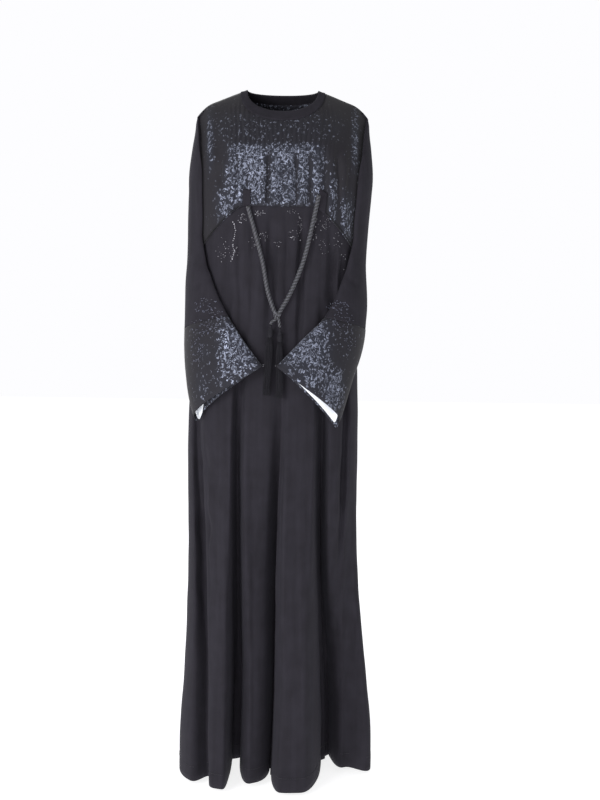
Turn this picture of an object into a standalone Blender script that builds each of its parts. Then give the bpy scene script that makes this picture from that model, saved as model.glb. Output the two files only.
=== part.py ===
"""A long black kaftan with a gathered foil yoke, a rope belt cord and wide banded sleeves.

The cloth stands as it is worn, hollow, with the neck, cuffs and hem open.
Metres, +Z up, front towards -Y. The origin is on the centre line, level with the top of the shoulders.
"""
import math
from collections import namedtuple
from functools import lru_cache

import bmesh
import bpy
import numpy as np
from mathutils import Matrix, Vector

COLLECTION = "kaftan"

# Cloth walls and the room between pieces.
CLOTH = 0.0016
SATIN = 0.0010
SEAM = 0.0003
LAP = 0.0023
SEAM_OVERLAP = 0.008

# Lengths down from the top of the shoulder.
HEM = -1.394
HEM_RISE = 0.05
WAIST = -0.226
WAIST_DROP = 0.087
WAIST_FLAT = 0.066
WAIST_POWER = 1.4
BACK_WAIST = -0.310

# Shoulders and neck.
SHOULDER_SLOPE = 0.40
SHOULDER_START = 0.070
SHOULDER_ROUND = 0.030
CHEST_RAMP = 0.130
CHEST_POWER = 0.8
BACK_RAMP = 0.160
BACK_POWER = 0.5
RIDGE_GAP = 0.0006
NECK_HALF = 0.082
NECK_DROP = 0.057
NECK_BACK_DROP = 0.020
NECK_POWER = 2.2
NECK_COLUMNS = (1.0, 0.80, 0.93)
BINDING = 0.012
BINDING_WALL = 0.0024
BINDING_ROWS = (0.04, 0.5, 1.0)
INNER_DROP = 0.045
INNER_BACK_DROP = 0.008

# Armhole, an upright oval in each side of the body.
ARMHOLE_TOP = -0.052
ARMHOLE_LOW = -0.330
ARMHOLE_DEPTH = 0.066
ARMHOLE_POWER = 2.6

# Gathers of the yoke: ridges that stand out and die away towards the neck.
GATHER_HEIGHT = 0.0035
GATHER_HALF = 0.0055
GATHER_FLANK = 1.2 * GATHER_HALF
GATHER_TOP = -0.075
GATHERS = (-0.094, -0.079, -0.0515, -0.032, -0.011, 0.0143, 0.0414, 0.058, 0.0725, 0.0975, 0.1246)

COLUMN_ROOM = 0.022
SIDE_COLUMNS = (0.70, 0.78, 0.85, 0.905, 0.95, 0.98, 1.0)
BODICE_BACK_COLUMNS = 19
SKIRT_COLUMNS = 56
SKIRT_BACK_COLUMNS = 44
SKIRT_ROWS = (0, 0.02, 0.06, 0.11, 0.17, 0.25, 0.35, 0.47, 0.60, 0.73, 0.85, 0.94, 1)
BODICE_ROWS = (0, 0.03, 0.09, 0.18, 0.30, 0.43, 0.57, 0.70, 0.82, 0.92, 1)

# Rope belt cord and its tassels.
ROPE = 0.009
ROPE_STEP = 0.020
KNOT_HALF = (0.0075, 0.0065, 0.0085)
KNOT_BUMP = 0.10
KNOT_TWIST = 5.0
TASSEL_STRANDS_ACROSS = 5

Level = namedtuple("Level", "z centre half_width front back corner")
LEVELS = (
    Level(-1.40, -0.001, 0.2005, 0.148, 0.147, 2.4),
    Level(-1.32, -0.001, 0.2000, 0.148, 0.146, 2.4),
    Level(-1.18, -0.003, 0.1885, 0.147, 0.142, 2.4),
    Level(-0.96, -0.010, 0.1745, 0.145, 0.136, 2.4),
    Level(-0.62, -0.012, 0.1705, 0.142, 0.128, 2.5),
    Level(-0.45, -0.008, 0.1600, 0.138, 0.116, 2.6),
    Level(-0.33, -0.007, 0.1530, 0.134, 0.108, 2.8),
    Level(-0.26, -0.005, 0.1570, 0.133, 0.108, 2.9),
    Level(-0.20, -0.003, 0.1620, 0.128, 0.108, 3.0),
    Level(-0.08, 0.000, 0.1660, 0.112, 0.100, 3.0),
    Level(0.02, 0.000, 0.1660, 0.110, 0.098, 3.0),
)

# Skirt folds: valleys pushed in from the outer form. Places are across the skirt in metres,
# at the hip and at the hem. A fold starts at top, is full at full, and is gone again at end.
Fold = namedtuple("Fold", "name hip hem half_width depth sideways top full end")
RUNS_OUT = -9.0
HIP = -0.70
FOLD_POWER = 3
FRONT_FOLDS = (
    Fold("left_edge", -0.166, -0.150, 0.011, 0.045, 0.35, -0.30, -1.20, RUNS_OUT),
    Fold("left_sharp", -0.080, -0.085, 0.0125, 0.142, 0.0, -0.34, -1.38, RUNS_OUT),
    Fold("left_recess", -0.045, -0.046, 0.034, 0.032, 0.0, -0.60, -1.36, RUNS_OUT),
    Fold("middle_soft", 0.005, -0.010, 0.011, 0.072, 0.0, -0.40, -1.38, RUNS_OUT),
    Fold("right_deep", 0.084, 0.107, 0.018, 0.140, 0.0, -0.30, -1.38, RUNS_OUT),
    Fold("right_recess", 0.140, 0.164, 0.048, 0.075, -0.30, -0.70, -1.36, RUNS_OUT),
    Fold("right_short", 0.133, 0.133, 0.009, 0.018, -0.20, -0.40, -0.66, -1.05),
    Fold("upper_left", -0.024, -0.024, 0.008, 0.009, 0.0, -0.235, -0.31, -0.52),
    Fold("upper_middle", 0.036, 0.036, 0.009, 0.010, 0.0, -0.235, -0.33, -0.60),
    Fold("upper_right", 0.104, 0.104, 0.009, 0.012, 0.0, -0.26, -0.35, -0.62),
)
BACK_FOLDS = (
    Fold("back_left_outer", -0.145, -0.158, 0.014, 0.040, 0.30, -0.36, -1.38, RUNS_OUT),
    Fold("back_left", -0.088, -0.102, 0.014, 0.070, 0.0, -0.34, -1.38, RUNS_OUT),
    Fold("back_left_inner", -0.034, -0.038, 0.012, 0.055, 0.0, -0.40, -1.38, RUNS_OUT),
    Fold("back_middle", 0.020, 0.026, 0.013, 0.072, 0.0, -0.33, -1.38, RUNS_OUT),
    Fold("back_right", 0.074, 0.087, 0.014, 0.060, 0.0, -0.38, -1.38, RUNS_OUT),
    Fold("back_right_outer", 0.130, 0.148, 0.014, 0.045, -0.30, -0.36, -1.38, RUNS_OUT),
)

# Sleeve sections, down the arm to the open end. Each is a flattened loop that lies on the outer
# form of the body between a front fold and a back fold. Turns run from 0 at the centre front to
# 1 at the side seam and 2 at the centre back. Rooms are from the body's form to the inner layer,
# and open is how far the outer layer stands off the inner one.
Section = namedtuple("Section", "name front_turn front_z front_room back_turn back_z back_room open")
LEFT_SECTIONS = (
    Section("upper_arm", 0.725, -0.200, 0.006, 1.36, -0.200, 0.006, 0.0130),
    Section("lower_arm", 0.680, -0.270, 0.006, 1.36, -0.270, 0.006, 0.0185),
    Section("armpit", 0.600, -0.334, 0.007, 1.34, -0.340, 0.007, 0.0205),
    Section("elbow", 0.532, -0.362, 0.008, 1.29, -0.395, 0.008, 0.0205),
    Section("forearm", 0.448, -0.400, 0.009, 1.19, -0.440, 0.008, 0.0175),
    Section("band_seam", 0.355, -0.436, 0.011, 1.03, -0.486, 0.008, 0.0160),
    Section("band_middle", 0.225, -0.480, 0.017, 0.80, -0.556, 0.007, 0.0175),
    Section("open_end", 0.075, -0.530, 0.025, 0.610, -0.640, 0.007, 0.0210),
)
RIGHT_SECTIONS = (
    Section("upper_arm", 0.710, -0.200, 0.006, 1.36, -0.200, 0.006, 0.0140),
    Section("lower_arm", 0.690, -0.270, 0.006, 1.36, -0.270, 0.006, 0.0165),
    Section("armpit", 0.611, -0.334, 0.007, 1.33, -0.340, 0.007, 0.0175),
    Section("elbow", 0.545, -0.364, 0.008, 1.27, -0.392, 0.008, 0.0170),
    Section("forearm", 0.460, -0.403, 0.009, 1.14, -0.434, 0.008, 0.0160),
    Section("band_seam", 0.365, -0.438, 0.011, 0.95, -0.475, 0.008, 0.0140),
    Section("band_middle", 0.190, -0.480, 0.017, 0.665, -0.550, 0.007, 0.0175),
    Section("open_end", 0.020, -0.530, 0.025, 0.505, -0.640, 0.007, 0.0210),
)
ARMHOLE_ROWS = (-0.0520, -0.061, -0.076, -0.105, -0.145, -0.200, -0.250, -0.290, -0.314, -0.328)
SLEEVE_STATIONS = (2.1, 2.5, 3.0, 3.5, 4.0, 4.5, 5.0)
BAND_STATIONS = (5.0, 5.4, 5.8, 6.2, 6.6, 7.0)
FACING_STATIONS = (6.6, 7.0)
BAND_GAP = 0.010
SHOULDER_EASE = 0.135
TOP_LIP = np.array((0.0035, 0.0020, 0.0))
SHOULDER_LIP = np.array((0.0035, 0.0060, 0.0))
TOP_STEPS = 5
BULGE_HEIGHTS = (-0.110, -0.064, -0.052)
BULGES = (0.0115, 0.0045, 0.0)
LIP_TURN = 0.045
LIP_STEPS = (0.0, 0.22, 0.44, 0.66)
OUTER_STEPS = 14
LOOP_POWER = 0.8
FACING_TRIM = 56.0
FACING_SHORT = 0.04
FACING_IN = 0.0024

# The under layer reaches past the upper one at the open end, from this angle of the loop on.
TONGUE_START = 2.4
TONGUE_RUN = 0.7
Tongue = namedtuple("Tongue", "reach power")
LEFT_TONGUE = Tongue(0.07, 6.0)
RIGHT_TONGUE = Tongue(0.15, 1.3)

# The rope's route: points on the front, across, up, and out from the body's form.
Route = namedtuple("Route", "x z out")
LEFT_ROPE = (
    Route(-0.0625, -0.2271, 0.0070),
    Route(-0.0500, -0.2700, 0.0080),
    Route(-0.0337, -0.3310, 0.0075),
    Route(-0.0235, -0.3850, 0.0080),
    Route(-0.0101, -0.4252, 0.0103),
)
RIGHT_ROPE = (
    Route(0.0725, -0.2045, 0.0125),
    Route(0.0635, -0.2480, 0.0105),
    Route(0.0460, -0.3250, 0.0080),
    Route(0.0245, -0.3820, 0.0080),
    Route(0.0017, -0.4253, 0.0103),
)
KNOT_PLACE = Route(-0.0042, -0.4330, 0.0105)
LEFT_TAIL = (
    Route(-0.0080, -0.4418, 0.0112),
    Route(-0.0148, -0.4460, 0.0118),
    Route(-0.0163, -0.4505, 0.0120),
)
RIGHT_TAIL = (
    Route(-0.0010, -0.4420, 0.0112),
    Route(0.0002, -0.4490, 0.0120),
    Route(0.0010, -0.4560, 0.0125),
)
TAIL = 0.0060

# Tabs at the waist seam that the rope comes out of: left and right edges.
TAB_WALL = 0.0025
TAB_ROWS = 3
TAB_REACH = 0.002
TAB_ROOM = SEAM * 1.5
SHARPEST_TURN = 0.35
TABS = {
    "cord_tab_left": (GATHERS[1] + GATHER_FLANK, GATHERS[2] - GATHER_FLANK),
    "cord_tab_right": (GATHERS[8], GATHERS[8] + 0.0135),
}

Tassel = namedtuple("Tassel", "name top_x top_z low_x low_z out radius head")
TASSELS = (
    Tassel("tassel_left", -0.0165, -0.4518, -0.0235, -0.5880, 0.0122, 0.0080, 0.027),
    Tassel("tassel_right", 0.0012, -0.4570, 0.0020, -0.5930, 0.0127, 0.0072, 0.030),
)

# Finishes: colour, roughness and metallic value.
CREPE = ("black_crepe", (0.035, 0.034, 0.040), 0.85, 0.0)
FOIL = ("crackle_foil_cloth", (0.050, 0.054, 0.070), 0.45, 0.35)
WHITE_SATIN = ("white_satin", (0.80, 0.82, 0.85), 0.45, 0.0)
ROPE_YARN = ("black_rope", (0.030, 0.030, 0.034), 0.55, 0.0)
TASSEL_YARN = ("black_tassel_yarn", (0.016, 0.016, 0.019), 0.75, 0.0)


def smooth(t):
    """Ease from 0 to 1."""
    t = min(max(t, 0.0), 1.0)
    return t * t * (3 - 2 * t)


def mix(a, b, t):
    return a + (b - a) * t


def through(xs, ys, x):
    """Value at x of a smooth curve through the points; xs rise."""
    slopes = np.gradient(ys, xs)
    i = int(np.clip(np.searchsorted(xs, x) - 1, 0, len(xs) - 2))
    step = xs[i + 1] - xs[i]
    t = min(max((x - xs[i]) / step, 0.0), 1.0)
    rise = ys[i + 1] - ys[i]
    start, end = slopes[i] * step, slopes[i + 1] * step
    return ys[i] + t * start + t * t * (3 * rise - 2 * start - end) + t ** 3 * (start + end - 2 * rise)


@lru_cache(maxsize=None)
def level(z):
    """The outer form's sizes at a height."""
    zs = np.array([row.z for row in LEVELS])
    columns = zip(*LEVELS)
    return Level(*(float(through(zs, np.array(column), z)) for column in columns))


@lru_cache(maxsize=None)
def half_section(z, back, out):
    """Front or back half of the outer form at a height: x, y, and place from -1 to 1 along it."""
    form = level(z)
    half = form.half_width + out
    depth = (form.back if back else -form.front) + (out if back else -out)
    angle = np.linspace(-math.pi / 2, math.pi / 2, 181)
    x = form.centre + half * np.sign(np.sin(angle)) * np.abs(np.sin(angle)) ** (2 / form.corner)
    y = depth * np.abs(np.cos(angle)) ** (2 / form.corner)
    run = np.concatenate([[0], np.cumsum(np.hypot(np.diff(x), np.diff(y)))])
    return x, y, 2 * run / run[-1] - 1, run[-1] / 2


def form_point(turn, z, out=0.0):
    """A point on the outer form, moved out; turn is 0 at the front, 1 at the right, 2 at the back."""
    back = abs(turn) > 1
    place = (2 - abs(turn)) * (1 if turn > 0 else -1) if back else turn
    x, y, places, _ = half_section(round(z, 6), back, round(out, 6))
    return np.array([np.interp(place, places, x), np.interp(place, places, y), z])


def turn_of(x, z, back=False):
    """The place along the half section whose x this is."""
    xs, _, places, _ = half_section(round(z, 6), back, 0.0)
    return float(np.interp(x, xs, places))


def turn_at_depth(y, z, back):
    """The place along the half section, from 0 to 1, whose depth this is."""
    _, ys, places, _ = half_section(round(z, 6), back, round(2 * LAP, 6))
    half = len(places) // 2
    return float(np.interp(-abs(y), -np.abs(ys[half:]), places[half:]))


def shoulder(x):
    """Height of the shoulder line."""
    run = max(abs(x) - SHOULDER_START, 0.0)
    end = level(ARMHOLE_TOP).half_width
    fall = SHOULDER_SLOPE * run
    last = max(abs(x) - (end - SHOULDER_ROUND), 0.0) / SHOULDER_ROUND
    tip = ARMHOLE_TOP + SHOULDER_SLOPE * (end - SHOULDER_START)
    return -fall + tip * min(last, 1.0) ** 2


def body_y(x, z, back, out):
    """Depth of the bodice at a place across and up, on the front or the back."""
    form = level(round(z, 6))
    across = min(abs(x - form.centre) / (form.half_width + out), 1.0)
    depth = (form.back if back else form.front) + out
    ramp, power = (BACK_RAMP, BACK_POWER) if back else (CHEST_RAMP, CHEST_POWER)
    down = min(max((shoulder(x - form.centre) + out - z) / ramp, 0.0), 1.0)
    y = depth * (1 - across ** form.corner) ** (1 / form.corner) * math.sin(math.pi / 2 * down) ** power
    return y if back else -y


def armhole_y(z, grow=0.0):
    """Half depth of the armhole at a height."""
    middle = (ARMHOLE_TOP + ARMHOLE_LOW) / 2
    half = (ARMHOLE_TOP - ARMHOLE_LOW) / 2 + grow
    reach = min(abs(z - middle) / half, 1.0)
    return ARMHOLE_DEPTH * (1 - reach ** ARMHOLE_POWER) ** (1 / ARMHOLE_POWER)


def armhole_floor(y):
    """Height of the armhole's lower edge at a depth; far up where there is no armhole."""
    reach = abs(y) / ARMHOLE_DEPTH
    if reach >= 1:
        return 1.0
    middle = (ARMHOLE_TOP + ARMHOLE_LOW) / 2
    half = (ARMHOLE_TOP - ARMHOLE_LOW) / 2
    return middle - half * (1 - reach ** ARMHOLE_POWER) ** (1 / ARMHOLE_POWER)


def armhole_half(z, back, out, grow=0.0):
    """Distance of the armhole's edge from the centre line at a height."""
    form = level(round(z, 6))
    depth = (form.back if back else form.front) + out
    reach = min(armhole_y(z, grow) / depth, 1.0)
    return (form.half_width + out) * (1 - reach ** form.corner) ** (1 / form.corner)


def waist(x):
    """Height of the front waist seam: level in the middle, curving down to the armholes."""
    side = armhole_half(WAIST - WAIST_DROP, False, LAP)
    run = max(abs(x - level(WAIST).centre) - WAIST_FLAT, 0.0) / (side - WAIST_FLAT)
    return WAIST - WAIST_DROP * min(run, 1.0) ** WAIST_POWER


def finish(obj, finish_values):
    """Give an object its material."""
    name, colour, roughness, metallic = finish_values
    material = bpy.data.materials.get(name) or bpy.data.materials.new(name)
    material.use_nodes = True
    shader = material.node_tree.nodes["Principled BSDF"]
    shader.inputs["Base Color"].default_value = (*colour, 1.0)
    shader.inputs["Roughness"].default_value = roughness
    shader.inputs["Metallic"].default_value = metallic
    material.diffuse_color = (*colour, 1.0)
    obj.data.materials.append(material)


def place(name, mesh, finish_values):
    """Link a finished mesh as a named object."""
    obj = bpy.data.objects.new(name, mesh)
    bpy.data.collections[COLLECTION].objects.link(obj)
    finish(obj, finish_values)
    return obj


def cloth(name, rows, finish_values, wall=CLOTH, closed=False):
    """Loft a sheet of cloth through rows of points and give it a wall."""
    rows = np.array(rows)
    bm = bmesh.new()
    loops = [[bm.verts.new(point) for point in row] for row in rows]
    for upper, lower in zip(loops, loops[1:]):
        pairs = list(zip(upper, lower))
        if closed:
            pairs.append(pairs[0])
        for (a, b), (c, d) in zip(pairs, pairs[1:]):
            bm.faces.new((a, b, d, c))
    bmesh.ops.remove_doubles(bm, verts=bm.verts, dist=1e-6)
    mesh = bpy.data.meshes.new(name)
    bm.to_mesh(mesh)
    bm.free()
    mesh.shade_smooth()
    obj = place(name, mesh, finish_values)
    solidify = obj.modifiers.new("wall", "SOLIDIFY")
    solidify.thickness = wall
    solidify.offset = 0.0
    solidify.use_even_offset = False
    return obj


def fold_depth(fold, z):
    """How deep a fold is at a height."""
    rise = smooth((fold.top - z) / (fold.top - fold.full))
    fade = 1 - smooth((fold.full - z) / (fold.full - fold.end)) if fold.end > HEM else 1.0
    return fold.depth * rise * fade


@lru_cache(maxsize=None)
def fold_places(folds, back):
    """Where the long folds lie at the hip and at the hem, with the side seams at the ends."""
    long_folds = [fold for fold in folds if fold.end == RUNS_OUT]
    hip = [-1.0, *(turn_of(fold.hip, HIP, back) for fold in long_folds), 1.0]
    hem = [-1.0, *(turn_of(fold.hem, HEM, back) for fold in long_folds), 1.0]
    return hip, hem


def skirt_point(turn, z, folds, back):
    """A point of the skirt: the outer form with its folds pushed in. Turns are those at the hem."""
    hip, hem = fold_places(folds, back)
    down = min(max((HIP - z) / (HIP - HEM), 0.0), 1.0)
    turn_now = float(np.interp(turn, hem, mix(np.array(hip), np.array(hem), down)))
    point = form_point(2 - turn_now if back else turn_now, z)
    unit = half_section(HEM, back, 0.0)[3]
    total = 0.0
    for fold in folds:
        middle = float(np.interp(turn_of(fold.hip, HIP, back), hip, hem))
        push = fold_depth(fold, z) * math.exp(-abs((turn - middle) * unit / fold.half_width) ** FOLD_POWER)
        point[0] += push * fold.sideways
        point[1] += -push if back else push
        total += push
    point[2] += HEM_RISE * total * down ** 3
    return point


def skirt_columns(count, folds, back):
    """Places along the half section, evenly spaced on the folded hem."""
    unit = half_section(HEM, back, 0.0)[3]
    edge = 1 - (SEAM / 2 + 0.0001) / unit
    turns = np.linspace(-edge, edge, 1500)
    hem = np.array([skirt_point(t, HEM, folds, back)[:2] for t in turns])
    steps = np.hypot(*np.diff(hem, axis=0).T) + np.diff(turns) * unit
    run = np.concatenate([[0], np.cumsum(steps)])
    return np.interp(np.linspace(0, run[-1], count + 1), run, turns)


def skirt_top(turn, back):
    """Height of the skirt's upper edge: tucked under the bodice, or at the armhole's lower edge."""
    x, y, _ = form_point(2 - turn if back else turn, BACK_WAIST)
    seam = BACK_WAIST if back else waist(x)
    return min(seam + SEAM_OVERLAP, armhole_floor(y))


def skirt(name, count, folds, back):
    columns = skirt_columns(count, folds, back)
    tops = [skirt_top(turn, back) for turn in columns]
    rows = [[skirt_point(turn, mix(top, HEM, down), folds, back) for turn, top in zip(columns, tops)]
            for down in SKIRT_ROWS]
    return cloth(name, rows[::-1] if back else rows, CREPE)


def gather(x, z):
    """How far the yoke's gathers stand out at a place."""
    strength = GATHER_HEIGHT * smooth((GATHER_TOP - z) / (GATHER_TOP - WAIST))
    return strength * sum(math.exp(-((x - ridge) / GATHER_HALF) ** 2) for ridge in GATHERS)


def neckline(x, drop, half):
    """Height of the neck edge at a place across."""
    reach = min(abs(x) / half, 1.0)
    return shoulder(half) - drop * (1 - reach ** NECK_POWER) ** (1 / NECK_POWER)


def bodice_top(x, back):
    drop = NECK_BACK_DROP if back else NECK_DROP
    return LAP + (neckline(x, drop, NECK_HALF) if abs(x) < NECK_HALF else shoulder(x))


def bodice_point(across, down, back):
    """A point of the bodice; across runs from -1 to 1 between the armholes."""
    wide = level(ARMHOLE_TOP).half_width
    top = bodice_top(across * wide, back)
    side = armhole_half(WAIST, back, LAP)
    low = BACK_WAIST if back else waist(level(WAIST).centre + across * side)
    z = mix(top, low, down)
    x = level(round(z, 6)).centre + across * armhole_half(z, back, LAP)
    y = body_y(x, z, back, LAP)
    if back:
        return np.array([x, max(y, RIDGE_GAP), z])
    return np.array([x, min(y, -RIDGE_GAP) - gather(x, z), z])


def bodice_columns(back):
    """Places across the bodice: the gathers and their flanks, the neck edge, and even steps."""
    side = armhole_half(WAIST, back, LAP)
    wide = level(ARMHOLE_TOP).half_width
    neck = [sign * NECK_HALF * part / wide for part in NECK_COLUMNS for sign in (-1, 1)]
    if back:
        return sorted([*np.sin(np.linspace(-math.pi / 2, math.pi / 2, BODICE_BACK_COLUMNS)), *neck])
    ridges = [(ridge - level(WAIST).centre + step) / side
              for ridge in GATHERS for step in (-GATHER_FLANK, 0, GATHER_FLANK)]
    ends = [sign * part for sign in (-1, 1) for part in SIDE_COLUMNS]
    tabs = [(edge - level(WAIST).centre) / side for pair in TABS.values() for edge in pair]
    kept = neck[:4]
    for column in [*tabs, *neck[4:], *ridges[1::3], *ridges, *ends]:
        if min(abs(column - other) for other in kept) > COLUMN_ROOM:
            kept.append(column)
    return sorted(kept)


def bodice(name, back):
    columns = bodice_columns(back)
    rows = [[bodice_point(across, down, back) for across in columns] for down in BODICE_ROWS]
    cloth(name, rows[::-1] if back else rows, FOIL)
    return rows


def cord_tab(name, rows, left, right):
    """A small stitched tab that lies on the front bodice, made from its points moved out."""
    rows = np.array(rows)
    across = rows[-1, :, 0]
    columns = [i for i, x in enumerate(across) if left - TAB_REACH <= x <= right + TAB_REACH]
    panel = moved(rows, TAB_WALL / 2 + CLOTH / 2 + TAB_ROOM)
    return cloth(name, panel[-TAB_ROWS:, columns[0]:columns[-1] + 1], CREPE, wall=TAB_WALL)


def moved(rows, distance):
    """Rows moved along the sheet's normals, further at sharp turns so the room stays even."""
    rows = np.array(rows)
    along = np.gradient(rows, axis=0)
    before = np.concatenate([2 * rows[:, :1] - rows[:, 1:2], rows[:, :-1]], axis=1)
    after = np.concatenate([rows[:, 1:], 2 * rows[:, -1:] - rows[:, -2:-1]], axis=1)
    first, second = np.cross(along, rows - before), np.cross(along, after - rows)
    first /= np.linalg.norm(first, axis=2, keepdims=True)
    second /= np.linalg.norm(second, axis=2, keepdims=True)
    spread = np.maximum(1 + np.sum(first * second, axis=2, keepdims=True), SHARPEST_TURN)
    return rows + distance * (first + second) / spread


def neck_binding():
    """A ring of cloth that carries the bodice's surface on to the neck edge."""
    wide = level(ARMHOLE_TOP).half_width
    half_in = NECK_HALF - BINDING
    rings = []
    for part in BINDING_ROWS:
        ring = []
        for back in (False, True):
            columns = [c * wide for c in bodice_columns(back) if abs(c * wide) <= NECK_HALF + 1e-6]
            if back:
                columns = columns[::-1][1:-1]
            outer_drop, inner_drop = (NECK_BACK_DROP, INNER_BACK_DROP) if back else (NECK_DROP, INNER_DROP)
            drop = mix(outer_drop, inner_drop, part)
            half = mix(NECK_HALF, half_in, part)
            for x in columns:
                x_now = x * half / NECK_HALF
                z = neckline(x_now, drop, half) + LAP
                ring.append((x_now, body_y(x_now, z, back, LAP), z))
        rings.append(ring)
    return cloth("neck_binding", rings, CREPE, wall=BINDING_WALL, closed=True)


def section_at(sections, station):
    """Sizes between two sleeve sections, carried on past the last one."""
    i = min(int(station), len(sections) - 2)
    stations = np.arange(len(sections), dtype=float)
    values = []
    for column in list(zip(*sections))[1:]:
        column = np.array(column)
        if station > stations[-1]:
            values.append(column[-1] + (column[-1] - column[-2]) * (station - stations[-1]))
        else:
            values.append(float(through(stations, column, station)))
    return Section(sections[i].name, *values)


def layer_point(side, now, across, lift, inset=0.0):
    """A point of a sleeve section, across from its front fold; lift is 0 inside and 1 outside."""
    across = mix(across, 0.5, inset * FACING_TRIM)
    room = mix(now.front_room, now.back_room, across) + inset + (now.open - 2 * inset) * lift
    turn = mix(now.front_turn, now.back_turn, across)
    return form_point(side * turn, mix(now.front_z, now.back_z, across), room)


def armhole_edge(side, z, back):
    """Where the sleeve meets the edge of the armhole."""
    out = LAP * 2
    x = level(round(z, 6)).centre + side * armhole_half(z, back, out, out)
    return np.array([x, body_y(x, z, back, out), z])


def armhole_row(side, sections, z):
    """A row of the sleeve level with the armhole, from its front edge round the outside to its back edge."""
    heights = [row.front_z for row in sections[2::-1]]
    now = section_at(sections, float(np.interp(z, heights, (2.0, 1.0, 0.0))))
    front, back = armhole_edge(side, z, False), armhole_edge(side, z, True)
    front_turn = turn_at_depth(front[1], z, False) - LIP_TURN
    back_turn = 2 - turn_at_depth(back[1], z, True) + LIP_TURN
    now = now._replace(front_z=z, back_z=z, front_turn=min(now.front_turn, front_turn),
                       back_turn=max(now.back_turn, back_turn))
    share = smooth((ARMHOLE_TOP - z) / SHOULDER_EASE)
    top = z == ARMHOLE_ROWS[0]
    lip = (TOP_LIP if top else SHOULDER_LIP) * (side, 1, 1)
    steps = TOP_STEPS if top else OUTER_STEPS
    lip_steps = [0.0 for _ in LIP_STEPS] if top else LIP_STEPS
    front_fold, back_fold = front + lip * (1, -1, 1), back + lip
    outer = []
    for i in range(OUTER_STEPS + 1):
        angle = math.pi * i / OUTER_STEPS
        across, lift = (1 - math.cos(angle)) / 2, math.sin(angle) ** LOOP_POWER
        bulge = side * lift * float(np.interp(z, BULGE_HEIGHTS, BULGES))
        near = mix(front_fold, back_fold, round(i / OUTER_STEPS * steps) / steps) + np.array([bulge, 0, 0])
        outer.append(mix(near, layer_point(side, now, across, lift), share))
    lips = []
    for edge, fold, turn, end_turn in ((front, front_fold, front_turn + LIP_TURN, now.front_turn),
                                       (back, back_fold, back_turn - LIP_TURN, now.back_turn)):
        flat = [mix(edge, fold, step) for step in lip_steps]
        round_body = [form_point(side * mix(turn, end_turn, step), z, mix(2 * LAP, now.back_room, step))
                      for step in lip_steps]
        lips.append([edge, *(mix(a, b, share) for a, b in zip(flat[1:], round_body[1:]))])
    return [*lips[0], *outer, *lips[1][::-1]]


def sleeve_row(side, sections, station, tongue=Tongue(0.0, 1.0), inset=0.0):
    """A closed row of the sleeve, from the inner layer's middle round and back to it."""
    row = []
    inner = [step / 2 for step in LIP_STEPS]
    outer = [math.pi * i / OUTER_STEPS for i in range(OUTER_STEPS + 1)]
    places = [(0.5 - step, 0.0, 1.0) for step in inner]
    places += [((1 - math.cos(angle)) / 2, math.sin(angle) ** LOOP_POWER,
                smooth((angle - TONGUE_START) / TONGUE_RUN)) for angle in outer]
    places += [(0.5 + step, 0.0, 1.0) for step in inner[::-1]]
    for across, lift, under in places:
        extra = tongue.reach * across ** tongue.power * under
        row.append(layer_point(side, section_at(sections, station + extra), across, lift, inset))
    return row


def sleeve(hand, side, sections, tongue):
    """A sleeve, its foil band and the white facing inside the band."""
    rows = [armhole_row(side, sections, z) for z in ARMHOLE_ROWS]
    rows += [sleeve_row(side, sections, station) for station in SLEEVE_STATIONS[:-1]]
    rows.append(sleeve_row(side, sections, SLEEVE_STATIONS[-1] - BAND_GAP))
    band = [sleeve_row(side, sections, station) for station in BAND_STATIONS[:-1]]
    band.append(sleeve_row(side, sections, BAND_STATIONS[-1], tongue))
    facing = [sleeve_row(side, sections, station, inset=FACING_IN) for station in FACING_STATIONS[:-1]]
    facing.append(sleeve_row(side, sections, FACING_STATIONS[-1] - FACING_SHORT, tongue, FACING_IN))
    turned = slice(None, None, -1 if side > 0 else 1)
    cloth(f"sleeve_{hand}", rows[turned], CREPE)
    cloth(f"cuff_{hand}", band[turned], FOIL)
    cloth(f"cuff_facing_{hand}", facing[turned], WHITE_SATIN, wall=SATIN)


def on_front(spot):
    """A route point in space."""
    x, y, z = form_point(turn_of(spot.x, spot.z), spot.z, 0.0)
    return np.array([spot.x, y - spot.out, z])


def rope_points(route, step):
    """Evenly spaced points along a smooth curve through the route."""
    knots = np.array([on_front(spot) for spot in route])
    stations = np.arange(len(knots), dtype=float)
    fine = np.linspace(0, stations[-1], 200)
    curve = np.array([[through(stations, knots[:, axis], t) for axis in range(3)] for t in fine])
    run = np.concatenate([[0], np.cumsum(np.linalg.norm(np.diff(curve, axis=0), axis=1))])
    count = int(run[-1] / step) + 1
    return [[np.interp(d, run, curve[:, axis]) for axis in range(3)]
            for d in np.linspace(0, run[-1], count + 1)]


def rope(name, route, width=ROPE, step=ROPE_STEP):
    points = rope_points(route, step)
    curve = bpy.data.curves.new(name, "CURVE")
    curve.dimensions = "3D"
    curve.bevel_depth = width / 2
    curve.bevel_resolution = 2
    curve.use_fill_caps = True
    spline = curve.splines.new("POLY")
    spline.points.add(len(points) - 1)
    for spline_point, point in zip(spline.points, points):
        spline_point.co = (*point, 1.0)
    return place(name, curve, ROPE_YARN)


def rope_knot():
    """A ball of rope with the strands' turns raised on it."""
    bm = bmesh.new()
    bmesh.ops.create_uvsphere(bm, u_segments=14, v_segments=9, radius=1.0)
    for vert in bm.verts:
        lean = math.atan2(vert.co.y, vert.co.x)
        bump = 1 + KNOT_BUMP * math.cos(2 * lean + KNOT_TWIST * vert.co.z)
        vert.co = Vector([c * h * bump for c, h in zip(vert.co, KNOT_HALF)])
    bmesh.ops.translate(bm, verts=bm.verts, vec=on_front(KNOT_PLACE))
    mesh = bpy.data.meshes.new("cord_knot")
    bm.to_mesh(mesh)
    bm.free()
    mesh.shade_smooth()
    return place("cord_knot", mesh, ROPE_YARN)


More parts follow.
